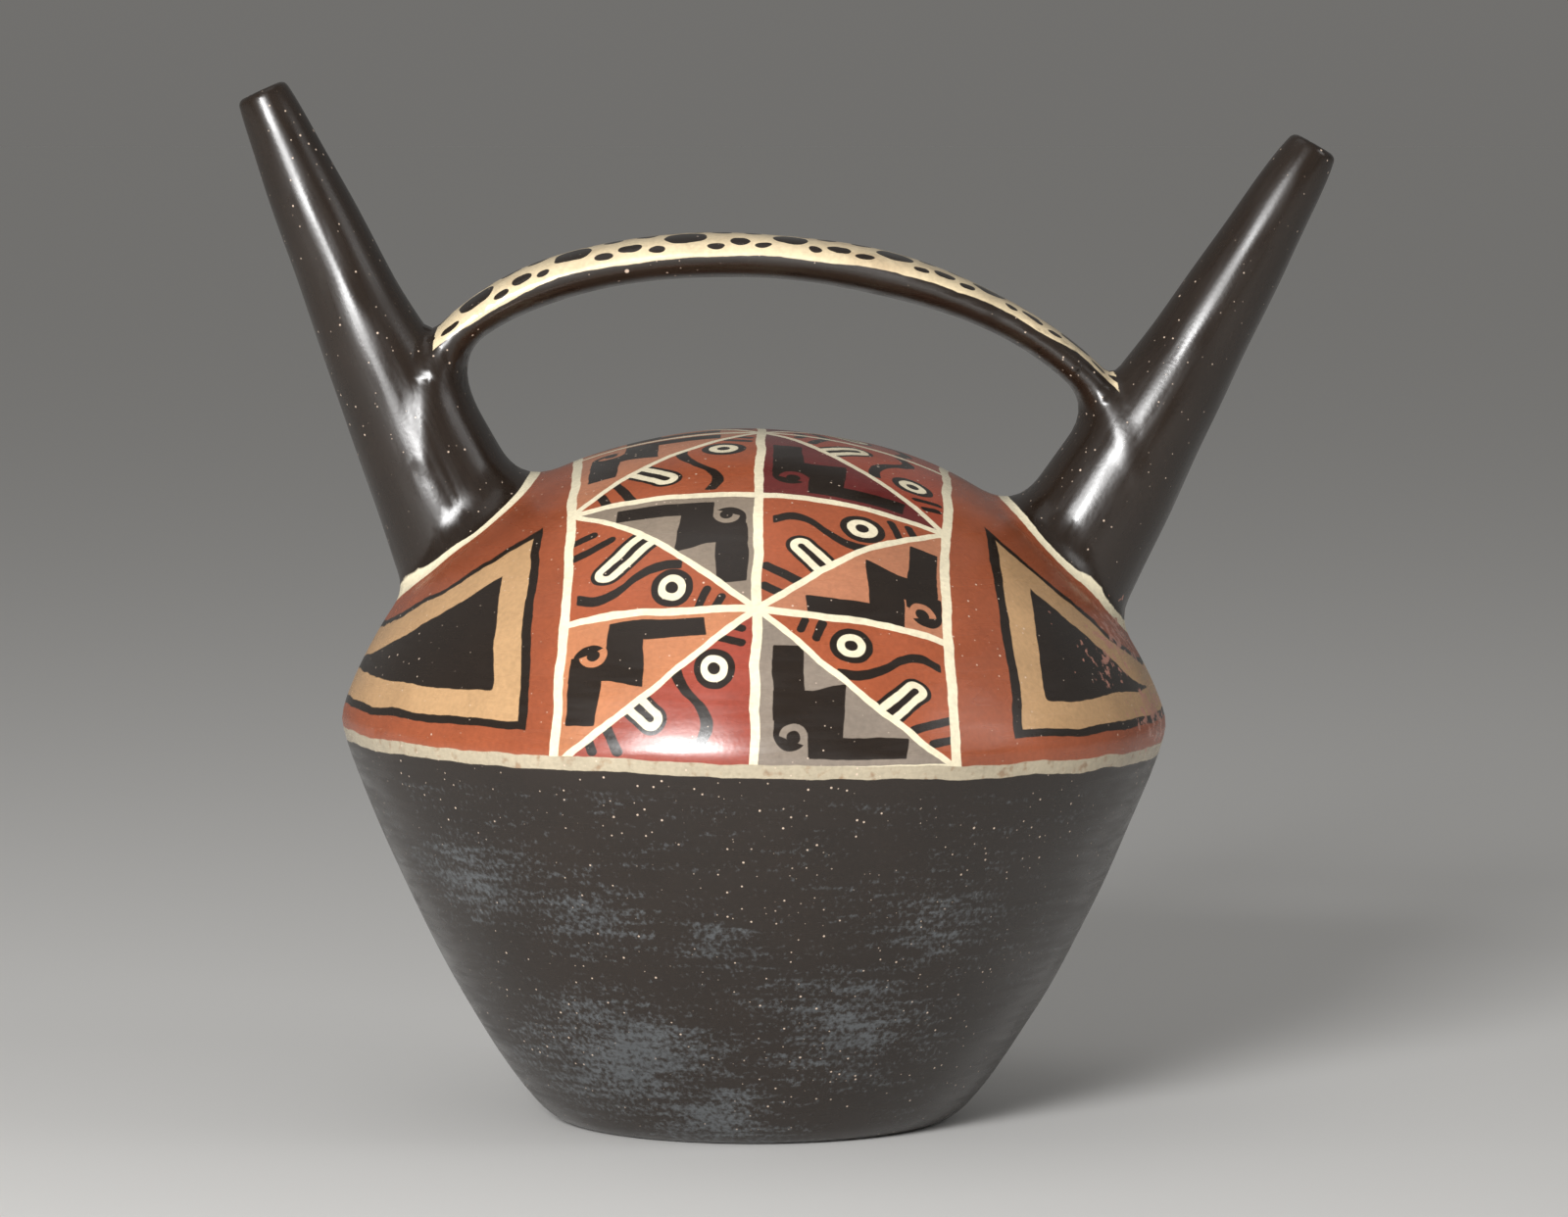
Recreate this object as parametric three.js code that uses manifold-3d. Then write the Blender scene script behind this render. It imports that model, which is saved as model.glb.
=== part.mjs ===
// Double-spout bottle with a strap bridge: a burnished, slip-painted earthenware vessel.
// One fired piece: hollow body, two leaning conical spouts and the flat bridge between them.
// Millimetres, +Z up, +X towards the spout on the right. The origin is the centre of the underside.

import * as THREE from 'three';
import { mergeVertices } from 'three/addons/utils/BufferGeometryUtils.js';
import Module from 'manifold-3d';

// Driving dimensions of the body, a low dome over an inverted cone.
const BODY_RADIUS = 80;
const BELLY_HEIGHT = 78;
const CROWN_HEIGHT = 134.1;
const FOOT_RADIUS = 38.6;
const FOOT_EDGE_ROUND = 2.4;
const WALL = 4.8;
const FLOOR = 6;
// The hand-built shoulder sits this much lower at the right end of the belly, and higher at the left.
const SHOULDER_DROP = 0.7;

// Driving dimensions of the spouts. inset is measured in from the belly's edge to where the spout's
// axis meets the dome, lean is from vertical, and springing is where the bridge's centre line starts,
// up the axis from the dome.
const LEFT_SPOUT = {
  side: -1, inset: 22.7, lean: 23.8, length: 93.9, footRadius: 13.4, tipRadius: 5.45, springing: 22.3,
};
const RIGHT_SPOUT = {
  side: 1, inset: 18.6, lean: 30.3, length: 93.4, footRadius: 13.3, tipRadius: 5.3, springing: 25.6,
};
const TIP_NARROWING = 0.6;
const TIP_NARROWING_LENGTH = 3.5;
const TIP_WALL = 2.1;
const SPOUT_FOOT_WALL = 3.4;
const FOOT_FILLET = 8;

// Driving dimensions of the strap bridge. The rise angles are above the horizontal.
const BRIDGE_WIDTH = 19.5;
const BRIDGE_END_WIDTH = 15;
const BRIDGE_THICKNESS = 8.6;
const BRIDGE_LEFT_RISE = 88;
const BRIDGE_RIGHT_RISE = 65;
const BRIDGE_WEB = 7;

// Proportions of the free curves, as shares of the lengths that they run along.
const FLANK_PULL = { out: 0.415, up: 0.16 };
const BELLY_PULL_BELOW = 0.098;
const BELLY_PULL_ABOVE = 0.1;
const CROWN_PULL = 0.75;
const BRIDGE_LEFT_PULL = 0.325;
const BRIDGE_RIGHT_PULL = 0.385;
const WEB_REACH = 0.25;
const NARROWING_START = 0.05;
const NARROWING_END = 0.24;
const STRAP_SQUARENESS = 2.3;

// How finely the round forms are faceted.
const BODY_SIDES = 60;
const CAVITY_SIDES = 40;
const FLANK_STEPS = 12;
const DOME_STEPS = 13;
const EDGE_STEPS = 3;
const CAVITY_STEPS = 9;
const SPOUT_SIDES = 26;
const BORE_SIDES = 16;
const BORE_STEPS = 4;
const FILLET_STEPS = 4;
const STRAP_SIDES = 18;
const STRAP_STEPS = 24;

// A joined form runs this far into its neighbour, and a cut this far past the face that it opens.
const OVERLAP = 2.5;
const SKIN_OVERLAP = 0.25;
const SEARCH_REACH = 60;
const SEARCH_ROUNDS = 26;

const slip = new THREE.MeshStandardMaterial({ color: 0x332c27, roughness: 0.38, metalness: 0 });

const degrees = THREE.MathUtils.degToRad;
const mix = THREE.MathUtils.lerp;

const crownRise = CROWN_HEIGHT - BELLY_HEIGHT;

// The lower wall, from the foot out to the belly, in radius and height.
const flank = new THREE.CubicBezierCurve(
  new THREE.Vector2(FOOT_RADIUS, 0),
  new THREE.Vector2(mix(FOOT_RADIUS, BODY_RADIUS, FLANK_PULL.out), BELLY_HEIGHT * FLANK_PULL.up),
  new THREE.Vector2(BODY_RADIUS, BELLY_HEIGHT * (1 - BELLY_PULL_BELOW)),
  new THREE.Vector2(BODY_RADIUS, BELLY_HEIGHT),
);

// The dome, from the belly in to the crown.
const dome = new THREE.CubicBezierCurve(
  new THREE.Vector2(BODY_RADIUS, BELLY_HEIGHT),
  new THREE.Vector2(BODY_RADIUS, BELLY_HEIGHT + crownRise * BELLY_PULL_ABOVE),
  new THREE.Vector2(BODY_RADIUS * CROWN_PULL, CROWN_HEIGHT),
  new THREE.Vector2(0, CROWN_HEIGHT),
);

// The value between two ends at which a rule that starts out true turns false.
function lastTrue(low, high, rule) {
  let yes = low;
  let no = high;
  for (let round = 0; round < SEARCH_ROUNDS; round += 1) {
    const middle = (yes + no) / 2;
    if (rule(middle)) yes = middle;
    else no = middle;
  }
  return yes;
}

// Where a curve of the body passes a height.
function pointAtHeight(curve, height) {
  return curve.getPoint(lastTrue(0, 1, (t) => curve.getPoint(t).y < height));
}

function outerRadius(height) {
  if (height <= 0 || height >= CROWN_HEIGHT) return 0;
  return pointAtHeight(height < BELLY_HEIGHT ? flank : dome, height).x;
}

// How much lower the hand-built body is at a point, for each millimetre to the right.
function shoulderSlope(height) {
  return (SHOULDER_DROP / BODY_RADIUS) * THREE.MathUtils.smoothstep(height, 0, BELLY_HEIGHT);
}

function insideBody(point) {
  const height = point.z + shoulderSlope(point.z) * point.x;
  return Math.hypot(point.x, point.y) < outerRadius(height);
}

// The outer profile runs from the centre of the underside to the crown.
function outerProfile() {
  const edgeTop = pointAtHeight(flank, FOOT_EDGE_ROUND);
  const edge = new THREE.QuadraticBezierCurve(
    new THREE.Vector2(FOOT_RADIUS - FOOT_EDGE_ROUND, 0), new THREE.Vector2(FOOT_RADIUS, 0), edgeTop,
  );
  const start = lastTrue(0, 1, (t) => flank.getPoint(t).y < FOOT_EDGE_ROUND);
  const points = [new THREE.Vector2(0, 0), ...edge.getPoints(EDGE_STEPS)];
  for (let step = 1; step <= FLANK_STEPS; step += 1) {
    points.push(flank.getPoint(mix(start, 1, step / FLANK_STEPS)));
  }
  return [...points, ...dome.getPoints(DOME_STEPS).slice(1)];
}

// The cavity's profile lies one wall inside the outer one, over a flat floor.
function cavityProfile() {
  const inward = (curve, t) => {
    const along = curve.getTangent(t);
    return curve.getPoint(t).add(new THREE.Vector2(-along.y, along.x).multiplyScalar(WALL));
  };
  const start = lastTrue(0, 1, (t) => inward(flank, t).y < FLOOR);
  const points = [new THREE.Vector2(0, FLOOR)];
  for (let step = 0; step <= CAVITY_STEPS; step += 1) {
    points.push(inward(flank, mix(start, 1, step / CAVITY_STEPS)));
  }
  for (let step = 1; step < CAVITY_STEPS; step += 1) {
    points.push(inward(dome, step / CAVITY_STEPS));
  }
  return [...points, new THREE.Vector2(0, CROWN_HEIGHT - WALL)];
}

// A closed solid from a geometry: seams welded and the empty triangles at the poles left out.
function solid(wasm, geometry) {
  const bare = geometry.clone();
  bare.deleteAttribute('normal');
  bare.deleteAttribute('uv');
  const welded = mergeVertices(bare, 1e-5);
  const triangles = [];
  const index = welded.index.array;
  for (let i = 0; i < index.length; i += 3) {
    const [a, b, c] = index.slice(i, i + 3);
    if (a !== b && b !== c && c !== a) triangles.push(a, b, c);
  }
  const mesh = new wasm.Mesh({
    numProp: 3,
    vertProperties: new Float32Array(welded.attributes.position.array),
    triVerts: new Uint32Array(triangles),
  });
  return new wasm.Manifold(mesh);
}

// A turned form about the body's axis, with the shoulder's drop worked into it.
function turned(profile, sides) {
  const geometry = new THREE.LatheGeometry(profile, sides).rotateX(Math.PI / 2);
  const position = geometry.attributes.position;
  for (let i = 0; i < position.count; i += 1) {
    const height = position.getZ(i);
    position.setZ(i, height - shoulderSlope(height) * position.getX(i));
  }
  return geometry;
}

// A closed skin over rings of points that have one count, with a fan at each end.
function skinned(rings) {
  const count = rings[0].length;
  const centre = (ring) => ring.reduce((sum, p) => sum.add(p), new THREE.Vector3()).divideScalar(count);
  const points = [centre(rings[0]), ...rings.flat(), centre(rings[rings.length - 1])];
  const last = points.length - 1;
  const at = (ring, i) => 1 + ring * count + (i % count);
  const index = [];
  for (let i = 0; i < count; i += 1) {
    index.push(0, at(0, i + 1), at(0, i));
    for (let ring = 0; ring + 1 < rings.length; ring += 1) {
      index.push(at(ring, i), at(ring, i + 1), at(ring + 1, i + 1));
      index.push(at(ring, i), at(ring + 1, i + 1), at(ring + 1, i));
    }
    index.push(last, at(rings.length - 1, i), at(rings.length - 1, i + 1));
  }
  const geometry = new THREE.BufferGeometry().setFromPoints(points);
  geometry.setIndex(index);
  return geometry;
}

// A spout's frame: its foot on the dome, its direction and two directions across it.
function spoutFrame(spout) {
  const lean = degrees(spout.lean);
  const up = new THREE.Vector3(spout.side * Math.sin(lean), 0, Math.cos(lean));
  const outward = new THREE.Vector3(Math.cos(lean), 0, -spout.side * Math.sin(lean));
  const aside = new THREE.Vector3(0, 1, 0);
  const reach = spout.side * (BODY_RADIUS - spout.inset);
  const height = lastTrue(BELLY_HEIGHT, CROWN_HEIGHT, (z) => insideBody(new THREE.Vector3(reach, 0, z)));
  return { foot: new THREE.Vector3(reach, 0, height), up, outward, aside };
}

// The spout's outer radius, going up its axis from the foot.
function spoutRadius(spout, along) {
  const cone = mix(spout.footRadius, spout.tipRadius, along / spout.length);
  return cone - TIP_NARROWING * Math.exp((along - spout.length) / TIP_NARROWING_LENGTH);
}

function boreRadius(spout, along) {
  const foot = spout.footRadius - SPOUT_FOOT_WALL;
  const tip = spout.tipRadius - TIP_NARROWING - TIP_WALL;
  return mix(foot, tip, along / spout.length);
}

function acrossSpout(frame, angle) {
  return frame.outward.clone().multiplyScalar(Math.cos(angle)).addScaledVector(frame.aside, Math.sin(angle));
}

function onSpout(frame, along, radius, angle) {
  return frame.foot.clone().addScaledVector(frame.up, along)
    .addScaledVector(acrossSpout(frame, angle), radius);
}

// The point of the body's surface on the line through a point along a spout's direction.
function ontoBody(point, up) {
  const low = point.clone().addScaledVector(up, -SEARCH_REACH);
  const share = lastTrue(0, 1, (t) => insideBody(low.clone().addScaledVector(up, 2 * SEARCH_REACH * t)));
  return low.addScaledVector(up, 2 * SEARCH_REACH * share);
}

// One line of the spout's surface, from under the dome's skin over the fillet to the tip.
function spoutLine(spout, frame, angle) {
  const onCone = (along) => onSpout(frame, along, spoutRadius(spout, along), angle);
  const meeting = lastTrue(-SEARCH_REACH, SEARCH_REACH, (along) => insideBody(onCone(along)));
  const corner = onCone(meeting);
  const rising = onCone(meeting + 1).sub(corner).normalize();
  const beside = ontoBody(corner.clone().add(acrossSpout(frame, angle)), frame.up);
  const spreading = beside.sub(corner).normalize();
  const reach = FOOT_FILLET / Math.tan(spreading.angleTo(rising) / 2);
  const landing = ontoBody(corner.clone().addScaledVector(spreading, reach), frame.up);
  landing.addScaledVector(frame.up, -SKIN_OVERLAP);
  const fillet = new THREE.QuadraticBezierCurve3(landing, corner, onCone(meeting + reach));
  const line = [landing.clone().addScaledVector(frame.up, -OVERLAP), ...fillet.getPoints(FILLET_STEPS)];
  const start = meeting + reach;
  const narrowing = spout.length - 2 * TIP_NARROWING_LENGTH;
  const stations = [0.25, 0.5, 0.75, 1].map((share) => mix(start, narrowing, share));
  stations.push(spout.length - TIP_NARROWING_LENGTH, spout.length - TIP_NARROWING_LENGTH / 3, spout.length);
  return [...line, ...stations.map(onCone)];
}

function spoutShell(spout) {
  const frame = spoutFrame(spout);
  const lines = [];
  for (let i = 0; i < SPOUT_SIDES; i += 1) {
    lines.push(spoutLine(spout, frame, (2 * Math.PI * i) / SPOUT_SIDES));
  }
  return skinned(lines[0].map((_, row) => lines.map((line) => line[row])));
}

// The bore opens through the tip and through the body's wall.
function spoutBore(spout) {
  const frame = spoutFrame(spout);
  const bottom = -(WALL + spout.footRadius);
  const top = spout.length + OVERLAP;
  const rings = [];
  for (let step = 0; step <= BORE_STEPS; step += 1) {
    const along = mix(bottom, top, step / BORE_STEPS);
    const ring = [];
    for (let i = 0; i < BORE_SIDES; i += 1) {
      const angle = (2 * Math.PI * i) / BORE_SIDES;
      ring.push(onSpout(frame, along, boreRadius(spout, Math.max(along, 0)), angle));
    }
    rings.push(ring);
  }
  return skinned(rings);
}

// The bridge's centre line springs from both spouts' axes.
function bridgeLine() {
  const spring = (spout) => {
    const frame = spoutFrame(spout);
    return frame.foot.addScaledVector(frame.up, spout.springing);
  };
  const left = spring(LEFT_SPOUT);
  const right = spring(RIGHT_SPOUT);
  const span = left.distanceTo(right);
  const pulled = (end, toward, rise, pull) => end.clone().add(new THREE.Vector3(
    toward * Math.cos(degrees(rise)) * span * pull, 0, Math.sin(degrees(rise)) * span * pull,
  ));
  return new THREE.CubicBezierCurve3(
    left,
    pulled(left, 1, BRIDGE_LEFT_RISE, BRIDGE_LEFT_PULL),
    pulled(right, -1, BRIDGE_RIGHT_RISE, BRIDGE_RIGHT_PULL),
    right,
  );
}

// The strap is a flat rounded band. Towards the spouts it narrows a little, and its underside
// thickens into a web.
function bridgeStrap() {
  const line = bridgeLine();
  const rounded = (value) => Math.sign(value) * Math.abs(value) ** (2 / STRAP_SQUARENESS);
  const rings = [];
  for (let step = 0; step <= STRAP_STEPS; step += 1) {
    const t = step / STRAP_STEPS;
    const centre = line.getPoint(t);
    const along = line.getTangent(t);
    const above = new THREE.Vector3(-along.z, 0, along.x);
    const fromEnd = Math.min(t, 1 - t);
    const web = BRIDGE_WEB * (1 - THREE.MathUtils.smoothstep(fromEnd, 0, WEB_REACH));
    const fullness = THREE.MathUtils.smoothstep(fromEnd, NARROWING_START, NARROWING_END);
    const width = mix(BRIDGE_END_WIDTH, BRIDGE_WIDTH, fullness);
    const ring = [];
    for (let i = 0; i < STRAP_SIDES; i += 1) {
      const angle = (2 * Math.PI * i) / STRAP_SIDES;
      const depth = BRIDGE_THICKNESS / 2 + (Math.sin(angle) < 0 ? web : 0);
      const point = centre.clone().addScaledVector(above, rounded(Math.sin(angle)) * depth);
      ring.push(point.add(new THREE.Vector3(0, rounded(Math.cos(angle)) * (width / 2), 0)));
    }
    rings.push(ring);
  }
  return skinned(rings);
}

const wasm = await Module();
wasm.setup();

const spouts = [LEFT_SPOUT, RIGHT_SPOUT];
let vessel = solid(wasm, turned(outerProfile(), BODY_SIDES)).add(solid(wasm, bridgeStrap()));
for (const spout of spouts) {
  vessel = vessel.add(solid(wasm, spoutShell(spout)));
}
vessel = vessel.subtract(solid(wasm, turned(cavityProfile(), CAVITY_SIDES)));
for (const spout of spouts) {
  vessel = vessel.subtract(solid(wasm, spoutBore(spout)));
}

const { vertProperties, triVerts } = vessel.getMesh();
const geometry = new THREE.BufferGeometry();
geometry.setAttribute('position', new THREE.BufferAttribute(new Float32Array(vertProperties), 3));
geometry.setIndex(new THREE.BufferAttribute(new Uint32Array(triVerts), 1));
geometry.computeVertexNormals();

const bottle = new THREE.Mesh(geometry, slip);
bottle.name = 'bottle';

const group = new THREE.Group();
group.add(bottle);

export default group;
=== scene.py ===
"""Double-spout bottle with a strap bridge: burnished earthenware, painted with coloured slips.

One fired piece. Its surface is worked out as a field of signed distances in millimetres, meshed and
drawn onto that field, and dressed with one painted finish. Front is -Y, and +Z is up.
"""

import logging
import math
from collections.abc import Iterable, Mapping, Sequence
from dataclasses import dataclass, field
from enum import Enum

import bpy
import numpy as np
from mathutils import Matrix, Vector

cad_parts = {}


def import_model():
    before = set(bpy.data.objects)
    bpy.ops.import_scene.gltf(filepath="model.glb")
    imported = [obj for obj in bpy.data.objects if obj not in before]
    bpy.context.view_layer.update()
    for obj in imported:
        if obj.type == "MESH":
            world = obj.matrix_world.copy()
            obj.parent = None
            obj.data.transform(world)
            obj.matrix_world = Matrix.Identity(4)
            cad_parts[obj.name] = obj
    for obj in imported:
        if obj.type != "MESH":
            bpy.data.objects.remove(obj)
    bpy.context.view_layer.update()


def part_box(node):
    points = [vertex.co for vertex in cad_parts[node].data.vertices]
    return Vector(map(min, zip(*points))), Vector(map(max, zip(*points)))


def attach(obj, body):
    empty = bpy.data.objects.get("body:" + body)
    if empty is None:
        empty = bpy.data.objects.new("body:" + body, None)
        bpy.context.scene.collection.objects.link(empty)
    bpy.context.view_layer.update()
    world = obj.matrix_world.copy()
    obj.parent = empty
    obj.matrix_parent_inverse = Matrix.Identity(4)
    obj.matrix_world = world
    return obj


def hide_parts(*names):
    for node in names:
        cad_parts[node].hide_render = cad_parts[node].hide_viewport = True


LOG = logging.getLogger("bottle")
MM = 0.001
NODE = "bottle"
BODY = "root"


def smoothstep(value: np.ndarray, low: float, high: float) -> np.ndarray:
    """Rise smoothly from 0 at low to 1 at high."""
    share = np.clip((value - low) / (high - low), 0, 1)
    return share * share * (3 - 2 * share)


def bezier(points: Sequence[tuple[float, float]], count: int) -> np.ndarray:
    """Sample a cubic curve.

    Args:
        points: the curve's four control points.
        count: how many samples to take, both ends among them.

    Returns:
        The samples, one row each.
    """
    t = np.linspace(0, 1, count)[:, None]
    a, b, c, d = (np.array(point, float) for point in points)
    return (1 - t) ** 3 * a + 3 * (1 - t) ** 2 * t * b + 3 * (1 - t) * t**2 * c + t**3 * d


def merge(first: np.ndarray, second: np.ndarray, width: float | np.ndarray) -> np.ndarray:
    """Join two distance fields with a fillet.

    Args:
        first: signed distances to the first form.
        second: signed distances to the second form.
        width: how far the fillet reaches, in the fields' own unit.

    Returns:
        Signed distances to both forms together.
    """
    share = np.clip(0.5 + 0.5 * (second - first) / width, 0, 1)
    return second + (first - second) * share - width * share * (1 - share)


def cut(base: np.ndarray, tool: np.ndarray, width: float) -> np.ndarray:
    """Cut the form of tool out of base and round the edge by width."""
    return -merge(-base, tool, width)


@dataclass(frozen=True)
class BodyForm:
    """The vessel's body: a low dome over an inverted cone, hollow, in millimetres."""

    radius: float
    belly_height: float = 78.0
    crown_height: float = 134.1
    foot_radius: float = 38.6
    foot_edge_round: float = 2.4
    wall: float = 4.8
    floor: float = 6.0
    shoulder_drop: float = 0.7
    flank_pull: tuple[float, float] = (0.38, 0.16)
    belly_pull_below: float = 0.098
    belly_pull_above: float = 0.1
    crown_pull: float = 0.75
    table_step: float = 0.75
    table_margin: float = 45.0

    def profile(self) -> np.ndarray:
        """Trace the outer wall from the foot's edge to the crown, as radius and height."""
        rise = self.crown_height - self.belly_height
        out = self.foot_radius + (self.radius - self.foot_radius) * self.flank_pull[0]
        flank = bezier(
            [
                (self.foot_radius, 0),
                (out, self.belly_height * self.flank_pull[1]),
                (self.radius, self.belly_height * (1 - self.belly_pull_below)),
                (self.radius, self.belly_height),
            ],
            80,
        )
        dome = bezier(
            [
                (self.radius, self.belly_height),
                (self.radius, self.belly_height + rise * self.belly_pull_above),
                (self.radius * self.crown_pull, self.crown_height),
                (0, self.crown_height),
            ],
            90,
        )
        wall = flank[flank[:, 1] > self.foot_edge_round]
        t = np.linspace(0, 1, 7)[:, None]
        foot = np.array((self.foot_radius - self.foot_edge_round, 0.0))
        corner = np.array((self.foot_radius, 0.0))
        edge = (1 - t) ** 2 * foot + 2 * (1 - t) * t * corner + t**2 * wall[0]
        return np.concatenate([edge, wall[1:], dome[1:]])

    def table(self) -> "DistanceTable":
        """Work out the distances to the body's outline over a grid of radius and height."""
        outline = np.concatenate([[(0.0, 0.0)], self.profile()])
        radii = np.arange(0, self.radius + self.table_margin, self.table_step)
        top = self.crown_height + 2 * self.table_margin
        heights = np.arange(-self.table_margin / 3, top, self.table_step)
        r, z = np.meshgrid(radii, heights, indexing="ij")
        spot = np.stack([r.ravel(), z.ravel()], 1)
        best = np.full(len(spot), np.inf)
        for start, end in zip(outline[:-1], outline[1:]):
            run = end - start
            share = np.clip((spot - start) @ run / (run @ run), 0, 1)
            best = np.minimum(best, np.hypot(*(spot - start - share[:, None] * run).T))
        wall = np.interp(spot[:, 1], outline[1:, 1], outline[1:, 0], left=0, right=0)
        inside = (spot[:, 0] < wall) & (spot[:, 1] > 0)
        values = np.where(inside, -best, best).reshape(r.shape)
        return DistanceTable(radii[0], heights[0], self.table_step, values)

    def drop(self, height: np.ndarray) -> np.ndarray:
        """How much lower the hand-built body is, for each millimetre to the right."""
        return self.shoulder_drop / self.radius * smoothstep(height, 0, self.belly_height)


@dataclass(frozen=True)
class DistanceTable:
    """Signed distances on a regular grid of radius and height."""

    first_radius: float
    first_height: float
    step: float
    values: np.ndarray

    def read(self, radius: np.ndarray, height: np.ndarray) -> np.ndarray:
        """Interpolate the distance at each radius and height."""
        rows, columns = self.values.shape
        i = np.clip((radius - self.first_radius) / self.step, 0, rows - 1.001)
        j = np.clip((height - self.first_height) / self.step, 0, columns - 1.001)
        low_i, low_j = i.astype(int), j.astype(int)
        share_i, share_j = i - low_i, j - low_j
        near = self.values[low_i, low_j] * (1 - share_j) + self.values[low_i, low_j + 1] * share_j
        far = self.values[low_i + 1, low_j] * (1 - share_j) + self.values[low_i + 1, low_j + 1] * share_j
        return near * (1 - share_i) + far * share_i


@dataclass(frozen=True)
class SpoutForm:
    """A leaning conical spout, open from its tip down into the body, in millimetres."""

    side: int
    inset: float
    lean: float
    length: float
    foot_radius: float
    tip_radius: float
    springing: float
    inner_fillet: float
    outer_fillet: float
    brace: float
    brace_top: float = 52.0
    foot_wall: float = 3.4
    tip_wall: float = 2.1
    tip_narrowing: float = 0.6
    tip_narrowing_length: float = 3.5
    lip_round: float = 1.3
    sunk: float = 24.0

    def direction(self) -> np.ndarray:
        """Give the unit vector up the spout's axis."""
        lean = math.radians(self.lean)
        return np.array([self.side * math.sin(lean), 0.0, math.cos(lean)])

    def foot(self, body: BodyForm) -> np.ndarray:
        """Find where the spout's axis meets the body's dome."""
        reach = body.radius - self.inset
        profile = body.profile()
        dome = profile[profile[:, 1] >= body.belly_height][::-1]
        drop = body.shoulder_drop / body.radius * self.side * reach
        return np.array([self.side * reach, 0.0, np.interp(reach, dome[:, 0], dome[:, 1]) - drop])

    def along_and_out(self, points: np.ndarray, body: BodyForm) -> tuple[np.ndarray, np.ndarray]:
        """Measure points up the axis from the foot, and out from the axis."""
        offset = points - self.foot(body)
        along = offset @ self.direction()
        out = np.linalg.norm(offset - along[:, None] * self.direction(), axis=1)
        return along, out

    def outward(self, points: np.ndarray, body: BodyForm) -> np.ndarray:
        """Tell which side of the axis points are on, from -1 under the bridge to 1 where the spout leans."""
        offset = points - self.foot(body)
        across = offset - (offset @ self.direction())[:, None] * self.direction()
        return self.side * across[:, 0] / np.maximum(np.linalg.norm(across, axis=1), 1e-6)

    def fillet(self, points: np.ndarray, body: BodyForm) -> np.ndarray:
        """Give the fillet's width at each point, which is less on the side that the spout leans to."""
        share = smoothstep(self.outward(points, body), -0.7, 0.8)
        return self.inner_fillet + (self.outer_fillet - self.inner_fillet) * share

    def shell(self, points: np.ndarray, body: BodyForm) -> np.ndarray:
        """Give the signed distances to the spout's outside."""
        along, out = self.along_and_out(points, body)
        radius = self.foot_radius + (self.tip_radius - self.foot_radius) * along / self.length
        radius = radius - self.tip_narrowing * np.exp(
            np.minimum(along - self.length, 0) / self.tip_narrowing_length
        )
        under = smoothstep(-self.outward(points, body), 0.1, 0.9)
        radius = radius + self.brace * under * (1 - smoothstep(along, 0.3 * self.brace_top, self.brace_top))
        side = (out - radius) * math.cos(math.atan((self.foot_radius - self.tip_radius) / self.length))
        ends = np.maximum(along - self.length, -self.sunk - along)
        return cut(side, -ends, self.lip_round)

    def bore(self, points: np.ndarray, body: BodyForm) -> np.ndarray:
        """Give the signed distances to the spout's bore, which runs on past both its ends."""
        along, out = self.along_and_out(points, body)
        foot = self.foot_radius - self.foot_wall
        tip = self.tip_radius - self.tip_narrowing - self.tip_wall
        radius = foot + (tip - foot) * np.maximum(along, 0) / self.length
        return np.maximum(out - radius, -self.sunk - along)


@dataclass(frozen=True)
class BridgeForm:
    """The flat strap between the spouts, in millimetres. Its rises are angles above the horizontal."""

    width: float = 19.5
    end_width: float = 15.0
    thickness: float = 8.6
    left_rise: float = 88.0
    right_rise: float = 65.0
    left_pull: float = 0.325
    right_pull: float = 0.385
    squareness: float = 2.3
    narrowing: tuple[float, float] = (0.05, 0.24)
    left_web: float = 3.0
    right_web: float = 0.5
    web_reach: float = 0.2
    crease_above: float = 3.0
    left_crease_below: float = 8.0
    right_crease_below: float = 7.0
    left_thinning: float = 1.5
    right_thinning: float = 2.3
    thinning: tuple[float, float] = (0.08, 0.4)
    samples: int = 260
    room: float = 24.0

    def line(self, body: BodyForm, left: SpoutForm, right: SpoutForm) -> np.ndarray:
        """Sample the strap's centre line, from one spout's axis to the other's."""
        starts = [s.foot(body) + s.direction() * s.springing for s in (left, right)]
        span = float(np.linalg.norm(starts[1] - starts[0]))
        rises = (math.radians(self.left_rise), math.radians(self.right_rise))
        pulls = (self.left_pull * span, self.right_pull * span)
        inner = [
            start[[0, 2]] + pull * np.array([toward * math.cos(rise), math.sin(rise)])
            for start, toward, rise, pull in zip(starts, (1, -1), rises, pulls)
        ]
        return bezier([starts[0][[0, 2]], inner[0], inner[1], starts[1][[0, 2]]], self.samples)


class Undulation(Enum):
    """The slow swells that a hand-built wall keeps: amplitude, then waves in each direction."""

    AROUND = (0.09, (0.055, 0.02, 0.012))
    SLANTING = (0.07, (-0.031, 0.047, 0.05))
    RISING = (0.06, (0.018, -0.03, 0.085))

    def height(self, points: np.ndarray) -> np.ndarray:
        """Give the swell at each point, in millimetres."""
        amplitude, wave = self.value
        return amplitude * np.sin(points @ np.array(wave) * math.pi) * smoothstep(points[:, 2], 4, 24)


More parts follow.
